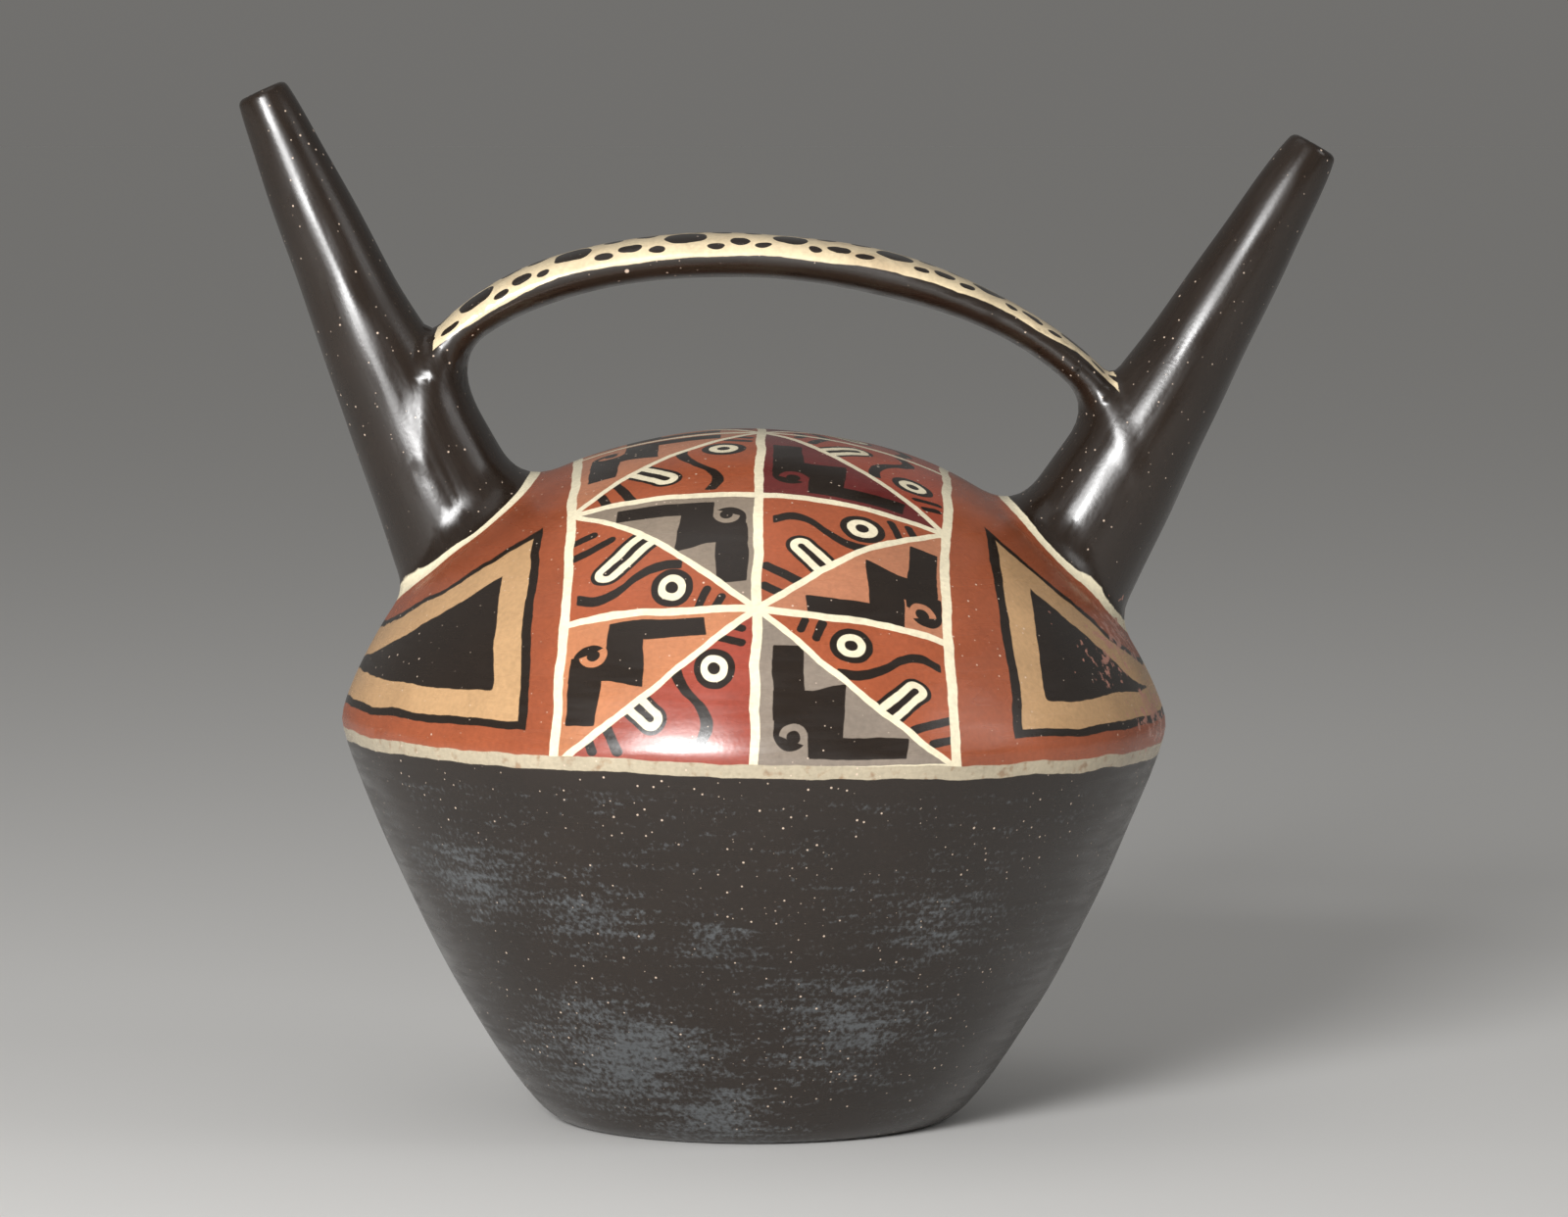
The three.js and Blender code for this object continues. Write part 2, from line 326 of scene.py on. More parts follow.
@dataclass
class VesselForm:
    """The whole vessel's solid: outer forms joined with fillets, less the cavity and the bores."""

    body: BodyForm
    left: SpoutForm
    right: SpoutForm
    bridge: BridgeForm
    rim_round: float = 0.7
    throat_round: float = 4.0
    outline: DistanceTable = field(init=False)
    strap_line: np.ndarray = field(init=False)

    def __post_init__(self) -> None:
        """Work out the tables that the distances are read from."""
        self.outline = self.body.table()
        self.strap_line = self.bridge.line(self.body, self.left, self.right)

    def body_distance(self, points: np.ndarray) -> np.ndarray:
        """Give the signed distances to the body without its spouts."""
        height = points[:, 2] + self.body.drop(points[:, 2]) * points[:, 0]
        return self.outline.read(np.hypot(points[:, 0], points[:, 1]), height)

    def strap(self, points: np.ndarray) -> tuple[np.ndarray, np.ndarray]:
        """Measure points against the strap bridge.

        Args:
            points: the points, one row each.

        Returns:
            Signed distances to the strap, and how far each point is above its centre line.
        """
        line, form = self.strap_line, self.bridge
        tangent = np.gradient(line, axis=0)
        tangent /= np.linalg.norm(tangent, axis=1)[:, None]
        flat = points[:, [0, 2]]
        gap = ((flat**2).sum(1)[:, None] - 2 * flat @ line.T + (line**2).sum(1)[None])
        near = gap.argmin(1)
        offset = flat - line[near]
        along = (offset * tangent[near]).sum(1)
        above = offset[:, 1] * tangent[near, 0] - offset[:, 0] * tangent[near, 1]
        from_end = np.minimum(near, len(line) - 1 - near) / (len(line) - 1)
        fullness = smoothstep(from_end, *form.narrowing)
        half_width = (form.end_width + (form.width - form.end_width) * fullness) / 2
        web = np.where(near * 2 < len(line), form.left_web, form.right_web)
        web = web * (1 - smoothstep(from_end, 0, form.web_reach))
        thinning = np.where(near * 2 < len(line), form.left_thinning, form.right_thinning)
        thickness = form.thickness - thinning * (1 - smoothstep(from_end, *form.thinning))
        depth = thickness / 2 + np.where(above < 0, web, 0)
        reach = np.maximum(np.hypot(above, points[:, 1]), 1e-6)
        power = form.squareness
        scaled = (np.abs(above / depth) ** power + np.abs(points[:, 1] / half_width) ** power) ** (1 / power)
        side = reach * (1 - 1 / np.maximum(scaled, 0.05))
        return np.maximum(side, np.abs(along) - 1), above

    def distance(self, points: np.ndarray) -> np.ndarray:
        """Give the signed distances to the vessel's clay, negative inside its walls."""
        body = self.body_distance(points)
        swell = sum(wave.height(points) for wave in Undulation)
        outer = body
        for spout in (self.left, self.right):
            outer = merge(outer, spout.shell(points, self.body), spout.fillet(points, self.body))
        line, room = self.strap_line, self.bridge.room
        near = (np.abs(points[:, 1]) < room) & (points[:, 2] > line[:, 1].min() - room)
        near &= (points[:, 0] > line[:, 0].min() - room) & (points[:, 0] < line[:, 0].max() + room)
        if near.any():
            strap, above = self.strap(points[near])
            below = 1 - smoothstep(above, -4.0, 3.0)
            form = self.bridge
            crease = np.where(points[near, 0] < 0, form.left_crease_below, form.right_crease_below)
            width = form.crease_above + (crease - form.crease_above) * below
            outer[near] = merge(outer[near], strap, width)
        outer = outer + swell
        cavity = np.maximum(body + self.body.wall, self.body.floor - points[:, 2])
        inner = merge(cavity, self.left.bore(points, self.body), self.throat_round)
        inner = merge(inner, self.right.bore(points, self.body), self.throat_round)
        return cut(outer, inner, self.rim_round)

    def slope(self, points: np.ndarray, step: float = 0.04) -> np.ndarray:
        """Give the field's gradient at each point."""
        columns = []
        for axis in range(3):
            shift = np.zeros(3)
            shift[axis] = step
            columns.append((self.distance(points + shift) - self.distance(points - shift)) / (2 * step))
        return np.stack(columns, 1)


def ruler(
    low: float, high: float, coarse: float, fine: float, spans: Iterable[tuple[float, float]]
) -> np.ndarray:
    """Lay out grid lines that stand closer together over some spans.

    Args:
        low: where the first line is.
        high: where the lines may stop.
        coarse: the usual step.
        fine: the step within the spans.
        spans: the stretches to divide finely.

    Returns:
        The lines' positions.
    """
    marks = [low]
    while marks[-1] < high:
        here = marks[-1]
        marks.append(here + (fine if any(a <= here <= b for a, b in spans) else coarse))
    return np.array(marks)


@dataclass
class SurfaceNet:
    """The surface where a field sampled on a grid of unequal steps passes through zero."""

    axes: tuple[np.ndarray, np.ndarray, np.ndarray]
    values: np.ndarray

    def crossings(self, axis: int) -> tuple[np.ndarray, np.ndarray, np.ndarray]:
        """Find the grid edges along one axis that pass through the surface.

        Args:
            axis: 0, 1 or 2, for X, Y or Z.

        Returns:
            The edges' indices, the points where they cross, and whether each goes from inside out.
        """
        count = self.values.shape[axis]
        near = np.take(self.values, range(count - 1), axis)
        far = np.take(self.values, range(1, count), axis)
        index = np.stack(np.nonzero((near < 0) != (far < 0)), 1)
        a, b = near[tuple(index.T)], far[tuple(index.T)]
        place = np.stack([line[index[:, n]] for n, line in enumerate(self.axes)], 1)
        line = self.axes[axis]
        start = line[index[:, axis]]
        place[:, axis] = start + (line[index[:, axis] + 1] - start) * a / (a - b)
        return index, place, a < 0

    def build(self) -> tuple[np.ndarray, np.ndarray]:
        """Put one vertex in each cell that the surface passes, and join them round each crossed edge.

        Returns:
            The vertices, and the quads as rows of vertex numbers that face outwards.
        """
        cells = np.array(self.values.shape) - 1
        total = np.zeros((cells.prod(), 3))
        count = np.zeros(cells.prod())
        rings = []
        for axis in range(3):
            index, place, outward = self.crossings(axis)
            first, second = (axis + 1) % 3, (axis + 2) % 3
            corners = []
            for a, b in ((0, 0), (1, 0), (1, 1), (0, 1)):
                cell = index.copy()
                cell[:, first] -= a
                cell[:, second] -= b
                corners.append(np.ravel_multi_index(tuple(cell.T), tuple(cells)))
            ring = np.stack(corners, 1)
            for column in ring.T:
                for n in range(3):
                    total[:, n] += np.bincount(column, place[:, n], cells.prod())
                count += np.bincount(column, minlength=cells.prod())
            rings.append(np.where(outward[:, None], ring, ring[:, ::-1]))
        used = np.nonzero(count)[0]
        number = np.full(cells.prod(), -1)
        number[used] = np.arange(len(used))
        return total[used] / count[used, None], number[np.concatenate(rings)]


@dataclass
class VesselMesher:
    """Turns the vessel's field into a smooth mesh that lies on it."""

    form: VesselForm
    coarse: float = 1.9
    fine: float = 0.66
    strap_step: float = 0.95
    rounds: int = 3
    ease: float = 0.5

    def sample(self) -> SurfaceNet:
        """Read the field on a grid that is finest at the spouts' tips."""
        low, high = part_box(NODE)
        margin = 2.2
        tip = self.form.left.tip_radius + margin
        ends = [s.foot(self.form.body) + s.direction() * s.length for s in (self.form.left, self.form.right)]
        lip = min(end[2] for end in ends) - tip
        x_spans = [(end[0] - tip - 1, end[0] + tip + 1) for end in ends]
        strap = self.form.bridge.width / 2 + 1
        starts = [end / MM - margin for end in low]
        stops = [end / MM + margin for end in high]
        axes = (
            ruler(starts[0], stops[0], self.coarse, self.fine, x_spans),
            ruler(starts[1], stops[1], self.coarse, self.strap_step, [(-strap, strap)]),
            ruler(starts[2], stops[2], self.coarse, self.fine, [(lip, stops[2])]),
        )
        shape = tuple(len(axis) for axis in axes)
        values = np.empty(shape)
        for i, x in enumerate(axes[0]):
            y, z = np.meshgrid(axes[1], axes[2], indexing="ij")
            layer = np.stack([np.full(y.size, x), y.ravel(), z.ravel()], 1)
            values[i] = self.form.distance(layer).reshape(shape[1:])
        return SurfaceNet(axes, values)

    def settle(self, points: np.ndarray, quads: np.ndarray) -> np.ndarray:
        """Even the mesh out along the surface and draw it onto the field."""
        edges = np.concatenate([quads[:, [i, (i + 1) % 4]] for i in range(4)])
        edges = np.concatenate([edges, edges[:, ::-1]])
        links = np.bincount(edges[:, 0], minlength=len(points))
        for round_number in range(self.rounds):
            slope = self.form.slope(points)
            square = (slope**2).sum(1)
            step = -self.form.distance(points) / np.maximum(square, 0.2)
            points = points + slope * np.clip(step, -1, 1)[:, None]
            if round_number + 1 < self.rounds:
                sums = [np.bincount(edges[:, 0], points[edges[:, 1], n], len(points)) for n in range(3)]
                mean = np.stack(sums, 1) / links[:, None]
                shift = (mean - points) * self.ease
                shift -= slope * ((shift * slope).sum(1) / np.maximum(square, 0.2))[:, None]
                points = points + shift
        return points

    def build(self) -> bpy.types.Object:
        """Mesh the vessel and link it into the scene."""
        points, quads = self.sample().build()
        points = self.settle(points, quads)
        mesh = bpy.data.meshes.new("painted_vessel")
        mesh.from_pydata((points * MM).tolist(), [], quads.tolist())
        mesh.polygons.foreach_set("use_smooth", np.ones(len(quads), bool))
        normals = self.form.slope(points)
        normals /= np.linalg.norm(normals, axis=1)[:, None]
        mesh.normals_split_custom_set_from_vertices(normals.tolist())
        mesh.update()
        vessel = bpy.data.objects.new("painted_vessel", mesh)
        bpy.context.scene.collection.objects.link(vessel)
        LOG.info("vessel: %d vertices, %d triangles", len(points), 2 * len(quads))
        return vessel


Value = float | Sequence[float] | bpy.types.NodeSocket
Pair = tuple[float, float]


def linear(colour: str) -> tuple[float, float, float, float]:
    """Turn an sRGB hex colour into a linear one.

    Args:
        colour: six hex digits.

    Returns:
        Red, green, blue and an alpha of 1.
    """
    shares = [int(colour[i : i + 2], 16) / 255 for i in (0, 2, 4)]
    return (*((s / 12.92 if s <= 0.04045 else ((s + 0.055) / 1.055) ** 2.4) for s in shares), 1.0)


class Sheet:
    """The node tree of one material."""

    def __init__(self, name: str) -> None:
        """Start a material of that name with an empty tree."""
        self.material = bpy.data.materials.new(name)
        self.material.use_nodes = True
        self.tree = self.material.node_tree
        self.tree.nodes.clear()

    def add(
        self,
        kind: str,
        links: Mapping[int | str, Value] | Sequence[Value] = (),
        out: int | str = 0,
        **settings: object,
    ) -> bpy.types.NodeSocket:
        """Add one node with its settings and links.

        Args:
            kind: the node's type, without the words that every shader node's type starts with.
            links: values or sockets for the inputs, in their order or by number or name.
            out: the output to hand back.
            settings: the node's own attributes.

        Returns:
            The chosen output, or the node's first input where it has no output.
        """
        node = self.tree.nodes.new("ShaderNode" + kind)
        for name, setting in settings.items():
            setattr(node, name, setting)
        for name, value in links.items() if isinstance(links, Mapping) else enumerate(links):
            if isinstance(value, bpy.types.NodeSocket):
                self.tree.links.new(value, node.inputs[name])
            else:
                node.inputs[name].default_value = value
        return node.outputs[out] if node.outputs else node.inputs[0]


class Brush:
    """Painted shapes as distances in millimetres, negative inside, and the laying of one slip on another.

    A place is a vector of two lengths and a 1, so that a straight edge is one dot product.
    """

    def __init__(self, sheet: Sheet, softness: float = 0.16) -> None:
        """Paint on a sheet, with edges that fade over softness."""
        self.add = sheet.add
        self.softness = softness

    def spot(self, at: Value, centre: Pair, radius: float) -> Value:
        """Give the distance to a round spot."""
        away = self.add("VectorMath", (at, (*centre, 1.0)), out="Value", operation="DISTANCE")
        return self.add("Math", (away, radius), operation="SUBTRACT")

    def stroke(self, at: Value, start: Pair, end: Pair, half: float) -> Value:
        """Give the distance to a straight stroke with round ends, half as wide on each side."""
        run = (end[0] - start[0], end[1] - start[1], 0.0)
        square = run[0] ** 2 + run[1] ** 2
        offset = self.add("VectorMath", (at, (*start, 1.0)), operation="SUBTRACT")
        unit = [r / square for r in run]
        share = self.add("VectorMath", (offset, unit), out="Value", operation="DOT_PRODUCT")
        share = self.add("Math", (share, 0.0), operation="ADD", use_clamp=True)
        foot = self.add("VectorMath", {0: run, "Scale": share}, operation="SCALE")
        away = self.add("VectorMath", (offset, foot), out="Value", operation="DISTANCE")
        return self.add("Math", (away, half), operation="SUBTRACT")

    def edge(self, at: Value, through: Pair, out: Pair) -> Value:
        """Give the distance beyond a straight edge through a point, on the side that out points to."""
        length = math.hypot(*out)
        x, y = out[0] / length, out[1] / length
        line = (x, y, -x * through[0] - y * through[1])
        return self.add("VectorMath", (at, line), out="Value", operation="DOT_PRODUCT")

    def patch(self, at: Value, corners: Sequence[Pair], rounding: float = 0.5) -> Value:
        """Give the distance to a patch with straight edges, whose corners run anticlockwise."""
        inside = None
        for start, end in zip(corners, [*corners[1:], corners[0]]):
            beyond = self.edge(at, start, (end[1] - start[1], start[0] - end[0]))
            if inside is not None:
                beyond = self.add("Math", (inside, beyond, rounding), operation="SMOOTH_MAX")
            inside = beyond
        return inside

    def nearest(self, distances: Sequence[Value]) -> Value:
        """Join shapes into one."""
        joined = distances[0]
        for distance in distances[1:]:
            joined = self.add("Math", (joined, distance), operation="MINIMUM")
        return joined

    def common(self, distances: Sequence[Value]) -> Value:
        """Keep only what all the shapes cover."""
        joined = distances[0]
        for distance in distances[1:]:
            joined = self.add("Math", (joined, distance), operation="MAXIMUM")
        return joined

    def belt(self, distance: Value, middle: float, half: float) -> Value:
        """Give the distance to a belt that follows a shape's edge."""
        away = self.add("Math", (distance, middle), operation="SUBTRACT")
        away = self.add("Math", (away,), operation="ABSOLUTE")
        return self.add("Math", (away, half), operation="SUBTRACT")

    def cover(self, distance: Value, strength: float = 1.0) -> Value:
        """Turn a distance into how much of what is below is covered, from 0 to strength."""
        slope = -strength / self.softness
        share = self.add("Math", (distance, slope, 0.5 * strength), operation="MULTIPLY_ADD", use_clamp=True)
        return share if strength >= 1 else self.add("Math", (share, strength), operation="MINIMUM")

    def lay(self, below: Value, above: Value, share: Value) -> Value:
        """Lay one colour over another by a share."""
        return self.add("Mix", {0: share, 6: below, 7: above}, out=2, data_type="RGBA")

    def paint(self, below: Value, colour: str, distance: Value) -> Value:
        """Paint a shape in one slip over what is there."""
        return self.lay(below, linear(colour), self.cover(distance))


@dataclass(frozen=True)
class Slips:
    """The slips on the vessel: fine clays coloured by iron and manganese, as sRGB colours."""

    dark: str = "231a13"
    red: str = "9e5334"
    tan: str = "c29b70"
    cream: str = "f2e6c6"
    strap_cream: str = "e3cfaa"
    band: str = "bbae95"
    bare_clay: str = "c58a78"
    bloom: str = "70767a"
    speck: str = "ecd3bd"
    stain: str = "8c5f38"
    smoke: str = "5d2a20"


@dataclass(frozen=True)
class CellPaint:
    """One cell of the panel: the slips behind its face and its fret, and whether its face lies on its side.

    The four pairs are how far the painter set the eye, the mouth, the fret and the fret's curl off their
    usual places, in millimetres.
    """

    face_ground: str
    fret_ground: str
    on_its_side: bool
    eye: Pair
    mouth: Pair
    fret: Pair
    curl: Pair


class Cell(Enum):
    """The panel's six cells, from the lowest left."""

    LOW_LEFT = CellPaint("9a4535", "bd7c56", False, (0.8, -0.6), (2.8, 1.9), (-0.4, 0.2), (-0.1, 0.8))
    LOW_RIGHT = CellPaint("a35434", "8c7f72", True, (-0.5, -1.5), (-1.3, -0.5), (0.9, 0.6), (0.9, -1.9))
    MIDDLE_LEFT = CellPaint("a35434", "8d7e6e", True, (-1.6, -0.1), (-6.4, -0.2), (-0.4, 1.0), (-0.4, -0.9))
    MIDDLE_RIGHT = CellPaint("a35434", "b87a5a", True, (0.5, -0.3), (-1.5, 0.4), (-0.7, -1.3), (-1.6, -3.2))
    HIGH_LEFT = CellPaint("a35434", "b87a5a", False, (0.2, 1.6), (1.4, -0.3), (0.3, 0.3), (0.2, -0.3))
    HIGH_RIGHT = CellPaint("a24a33", "6c2b28", False, (-0.1, -0.3), (0.2, -1.0), (0.3, 0.6), (0.2, -0.3))

    @property
    def grounds(self) -> list[tuple[float, float, float, float]]:
        """The grounds of the face and of the fret, each with the face's turn in place of an alpha."""
        paint = self.value
        turn = float(paint.on_its_side)
        return [(*linear(colour)[:3], turn) for colour in (paint.face_ground, paint.fret_ground)]

    @property
    def shifts(self) -> list[tuple[float, float, float, float]]:
        """The shifts of the face's eye and mouth, and of the fret and its curl."""
        paint = self.value
        return [(*paint.eye, *paint.mouth), (*paint.fret, *paint.curl)]


@dataclass(frozen=True)
class PanelForm:
    """The painted panel on each side of the dome. Lengths in millimetres, angles in degrees.

    Heights on it are angles about a line near the body's middle, from the belly up to the ridge.
    """

    pivot_height: float = 74.5
    ridge_place: float = -7.3
    ridge_slant: float = -0.075
    rows: tuple[float, float, float, float] = (0.9, 27.0, 55.3, 90.0)
    last_rung: float = 2.999
    row_heights: tuple[float, float, float] = (32.5, 31.0, 36.6)
    middle: Pair = (0.5, 0.013)
    half_width: Pair = (37.3, 35.4)
    half_width_top: float = 35.0
    sag: Pair = (0.0016, 0.0004)
    row_line: float = 0.84
    post_line: float = 0.9
    slant_line: float = 0.7
    slant_scale: float = 24.4
    shift_span: float = 16.0


@dataclass(frozen=True)
class FaceForm:
    """A face in profile in one half of a cell.

    Lengths are in millimetres from the corner across from the cell's slanting line.
    """

    eye: Pair = (6.8, 20.0)
    pupil: float = 1.25
    eye_ring: float = 2.75
    eye_rim: float = 4.1
    mouth: tuple[Pair, Pair] = ((25.9, 16.5), (16.5, 7.5))
    mouth_slit: float = 0.7
    lips: float = 2.25
    lip_rim: float = 3.05
    brow: tuple[Pair, ...] = ((8.7, 2.0), (7.2, 6.0), (8.3, 9.4), (11.2, 12.7), (13.5, 16.8), (13.9, 22.0))
    brow_half: float = 0.95
    brow_share: float = 0.45
    brow_lean: float = 0.84
    brow_round: float = 0.6
    brow_span: Pair = (2.2, 21.8)
    scale: float = 30.0
    lashes: tuple[tuple[Pair, Pair], ...] = (((25.6, 8.2), (22.6, 1.2)), ((28.4, 4.4), (27.2, 1.2)))
    lash_half: float = 0.95
    marks: tuple[tuple[Pair, Pair], ...] = (((6.1, 26.6), (2.0, 25.2)), ((4.4, 29.5), (2.0, 28.4)))
    mark_half: float = 0.8


@dataclass(frozen=True)
class FretForm:
    """A stepped fret that ends in a curl, in millimetres from the corner across from its slanting line."""

    steps: tuple[tuple[Pair, ...], ...] = (
        ((8.9, 1.5), (27.0, 1.5), (27.3, 5.7), (8.9, 5.9)),
        ((8.9, 1.5), (15.2, 1.5), (15.8, 16.4), (8.9, 14.2)),
        ((2.4, 8.6), (11.0, 8.6), (11.0, 14.5), (2.2, 14.5)),
        ((2.4, 8.4), (7.4, 9.4), (8.3, 12.0), (7.7, 24.2), (2.1, 23.8)),
    )
    throat: tuple[Pair, ...] = ((2.6, 8.6), (9.5, 8.8), (9.5, 12.5), (2.6, 13.0))
    crest: Pair = (5.7, 8.6)
    crest_radius: float = 3.2
    curl: Pair = (6.3, 7.9)
    gap: Pair = (1.95, 0.68)
    gap_facing: Pair = (-0.34, -0.94)
    gap_start: float = 0.7


@dataclass(frozen=True)
class FieldForm:
    """The nested field on each flank: left value, then what the right one adds. Lengths in millimetres."""

    inner_edge: Pair = (47.2, 12.25)
    inner_lean: Pair = (0.062, 0.069)
    bottom_edge: float = 5.7
    top_edge: Pair = (143.1, 12.5)
    top_fall: Pair = (0.64, 0.23)
    tan_in: tuple[float, float, float] = (1.7, 1.5, 0.75)
    core_in: tuple[float, float, float] = (6.8, 6.4, 4.4)
    core_round: float = 1.6


@dataclass(frozen=True)
class RingForm:
    """The cream ring round each spout's foot, as radii about the spout at angles from its outer side."""

    angles: tuple[float, ...] = (0, 45, 70, 90, 105, 118, 135, 162, 180)
    left: tuple[float, ...] = (15.3, 14.7, 15.7, 17.0, 18.8, 19.5, 19.8, 19.1, 18.8)
    right: tuple[float, ...] = (16.3, 15.5, 15.0, 16.4, 17.3, 17.7, 17.6, 17.4, 17.3)
    scale: float = 40.0
    half: float = 0.88
    clear_height: float = 134.6


@dataclass(frozen=True)
class StrapForm:
    """The strap's painting: its cream edge line in front view, and spots along it. In millimetres."""

    edge: tuple[Pair, ...] = (
        (-61.1, 150.3), (-54.4, 155.0), (-46.9, 159.5), (-39.3, 162.8), (-31.8, 165.1), (-16.7, 167.5),
        (-1.6, 167.9), (13.4, 166.7), (28.5, 164.1), (43.6, 159.4), (58.8, 151.4), (66.4, 145.6),
        (72.0, 139.5),
    )
    middle: float = 4.0
    half_span: float = 80.0
    low: float = 130.0
    clear: float = 5.0
    rise: float = 60.0
    ends: Pair = (13.5, -2.2)
    half_width: float = 9.75
    half_depth: float = 4.3
    round_scale: float = 7.3
    repeat: float = 10.15
    first: float = -13.05
    bend: float = 2.2e-5
    stretch: float = 0.09
    oblong: float = 1.45
    sway_size: float = 8.0
    sway: tuple[float, float, float] = (4.0, 3.0, 0.0)
    spots: tuple[tuple[Pair, float], ...] = (
        ((0.0, 10.2), 3.9), ((5.4, 5.0), 1.6), ((9.9, 6.9), 1.9), ((7.2, 15.2), 2.0), ((2.2, 16.6), 1.4),
    )


@dataclass(frozen=True)
class SpoutPlace:
    """Where the axis of each spout runs: left value, then what the right one adds. Lengths in millimetres."""

    reach: Pair = (57.3, 4.1)
    height: Pair = (113.2, -4.1)
    sine: Pair = (0.4035, 0.101)
    cosine: Pair = (0.915, -0.0516)
    grain: float = 0.07


@dataclass(frozen=True)
class BandForm:
    """The cream band round the belly, which drops to the right and to the far left. In millimetres."""

    height: float = 75.6
    slant: float = -0.03
    left_bend: float = -0.0003
    half: float = 1.25


@dataclass(frozen=True)
class Clouds:
    """A cloudy noise, by the size of its largest clouds in millimetres, turned into a share of a slip."""

    size: float
    gain: float
    start: float
    strength: float


class Uneven(Enum):
    """Where a slip lies unevenly: smoke on the red, stain on the strap's cream and pits in the band."""

    SMOKE = Clouds(30.0, 3.0, -1.3, 0.3)
    STRAP_STAIN = Clouds(9.0, 5.0, -2.75, 0.4)
    BAND_PITS = Clouds(2.4, 7.0, -4.0, 0.55)


@dataclass(frozen=True)
class Bloom:
    """The haze of salts on the lower body: spots in front view by place, radius and strength.

    A streak or grain is given by its size in millimetres and how strongly it breaks the haze up.
    """

    spots: tuple[tuple[Pair, float, float], ...] = (
        ((-24.0, 18.0), 24.0, 0.95), ((-52.0, 52.0), 15.0, 0.7), ((-30.0, 46.0), 12.0, 0.6),
        ((-7.0, 42.0), 9.0, 0.55), ((35.0, 45.0), 14.0, 0.55), ((18.0, 25.0), 20.0, 0.7),
        ((-8.0, 5.0), 16.0, 0.8),
    )
    flatten: float = 1.5
    elsewhere: float = -0.15
    run: tuple[float, float, float] = (0.1, 0.1, 1.0)
    streak: Pair = (1.3, 2.4)
    grain: Pair = (0.9, 3.4)
    spot_gain: float = 1.3
    start: float = -3.15
    fade: Pair = (-0.3, -1.0)
    strength: float = 0.45


@dataclass(frozen=True)
class Flakes:
    """Bare patches by place, radius and strength, with depth counted a quarter. In millimetres."""

    spots: tuple[tuple[tuple[float, float, float], float, float], ...] = (
        ((69.0, -5.0, 94.0), 15.0, 1.25), ((76.0, -4.0, 81.0), 12.0, 1.3), ((45.0, -9.0, 113.0), 12.0, 0.4),
        ((60.0, -8.0, 101.0), 9.0, 0.45), ((-56.0, -12.0, 98.0), 4.0, 0.5),
    )
    squash: tuple[float, float, float] = (1.0, 0.25, 1.0)
    elsewhere: float = -0.6
    torn: Pair = (2.2, 3.4)
    edge: Pair = (5.0, -13.5)
    strength: float = 0.85


@dataclass(frozen=True)
class Specks:
    """Tiny pits in two sizes, each by its spacing, its largest radius and how few are chosen."""

    kinds: tuple[tuple[float, float, float], ...] = ((1.5, 0.2, 0.4), (6.0, 0.42, 0.68))
    worn_size: float = 22.0
    growth: float = 3.0
    strength: float = 0.8


@dataclass(frozen=True)
class Burnish:
    """The rubbed surface: sizes and heights in millimetres, and what each adds to the roughness."""

    belly_run: tuple[float, float, float] = (0.12, 0.12, 1.0)
    spout_reach: float = 22.0
    stroke_size: float = 1.6
    cloud_size: float = 11.0
    grit_size: float = 0.7
    roughness: float = 0.05
    stroke_roughness: float = 0.3
    cloud_roughness: float = 0.16
    stroke_height: float = 0.022
    cloud_height: float = 0.05
    grit_height: float = 0.009
    specular: float = 0.7


HAND_SWAYS = ((13.0, 1.7), (2.6, 0.35))
TONE_CLOUD = (14.0, 0.5)
TONE_GRAIN = (0.9, 0.36)
TONE_LEVEL = 0.57
NOISE_ROUGHNESS = 0.55


def clouds(at: Value, size: float, detail: float = 2.0) -> dict[str, Value]:
    """Give the inputs of a noise whose largest clouds are about that many millimetres across."""
    return {"Vector": at, "Scale": 1 / size, "Detail": detail, "Roughness": NOISE_ROUGHNESS}


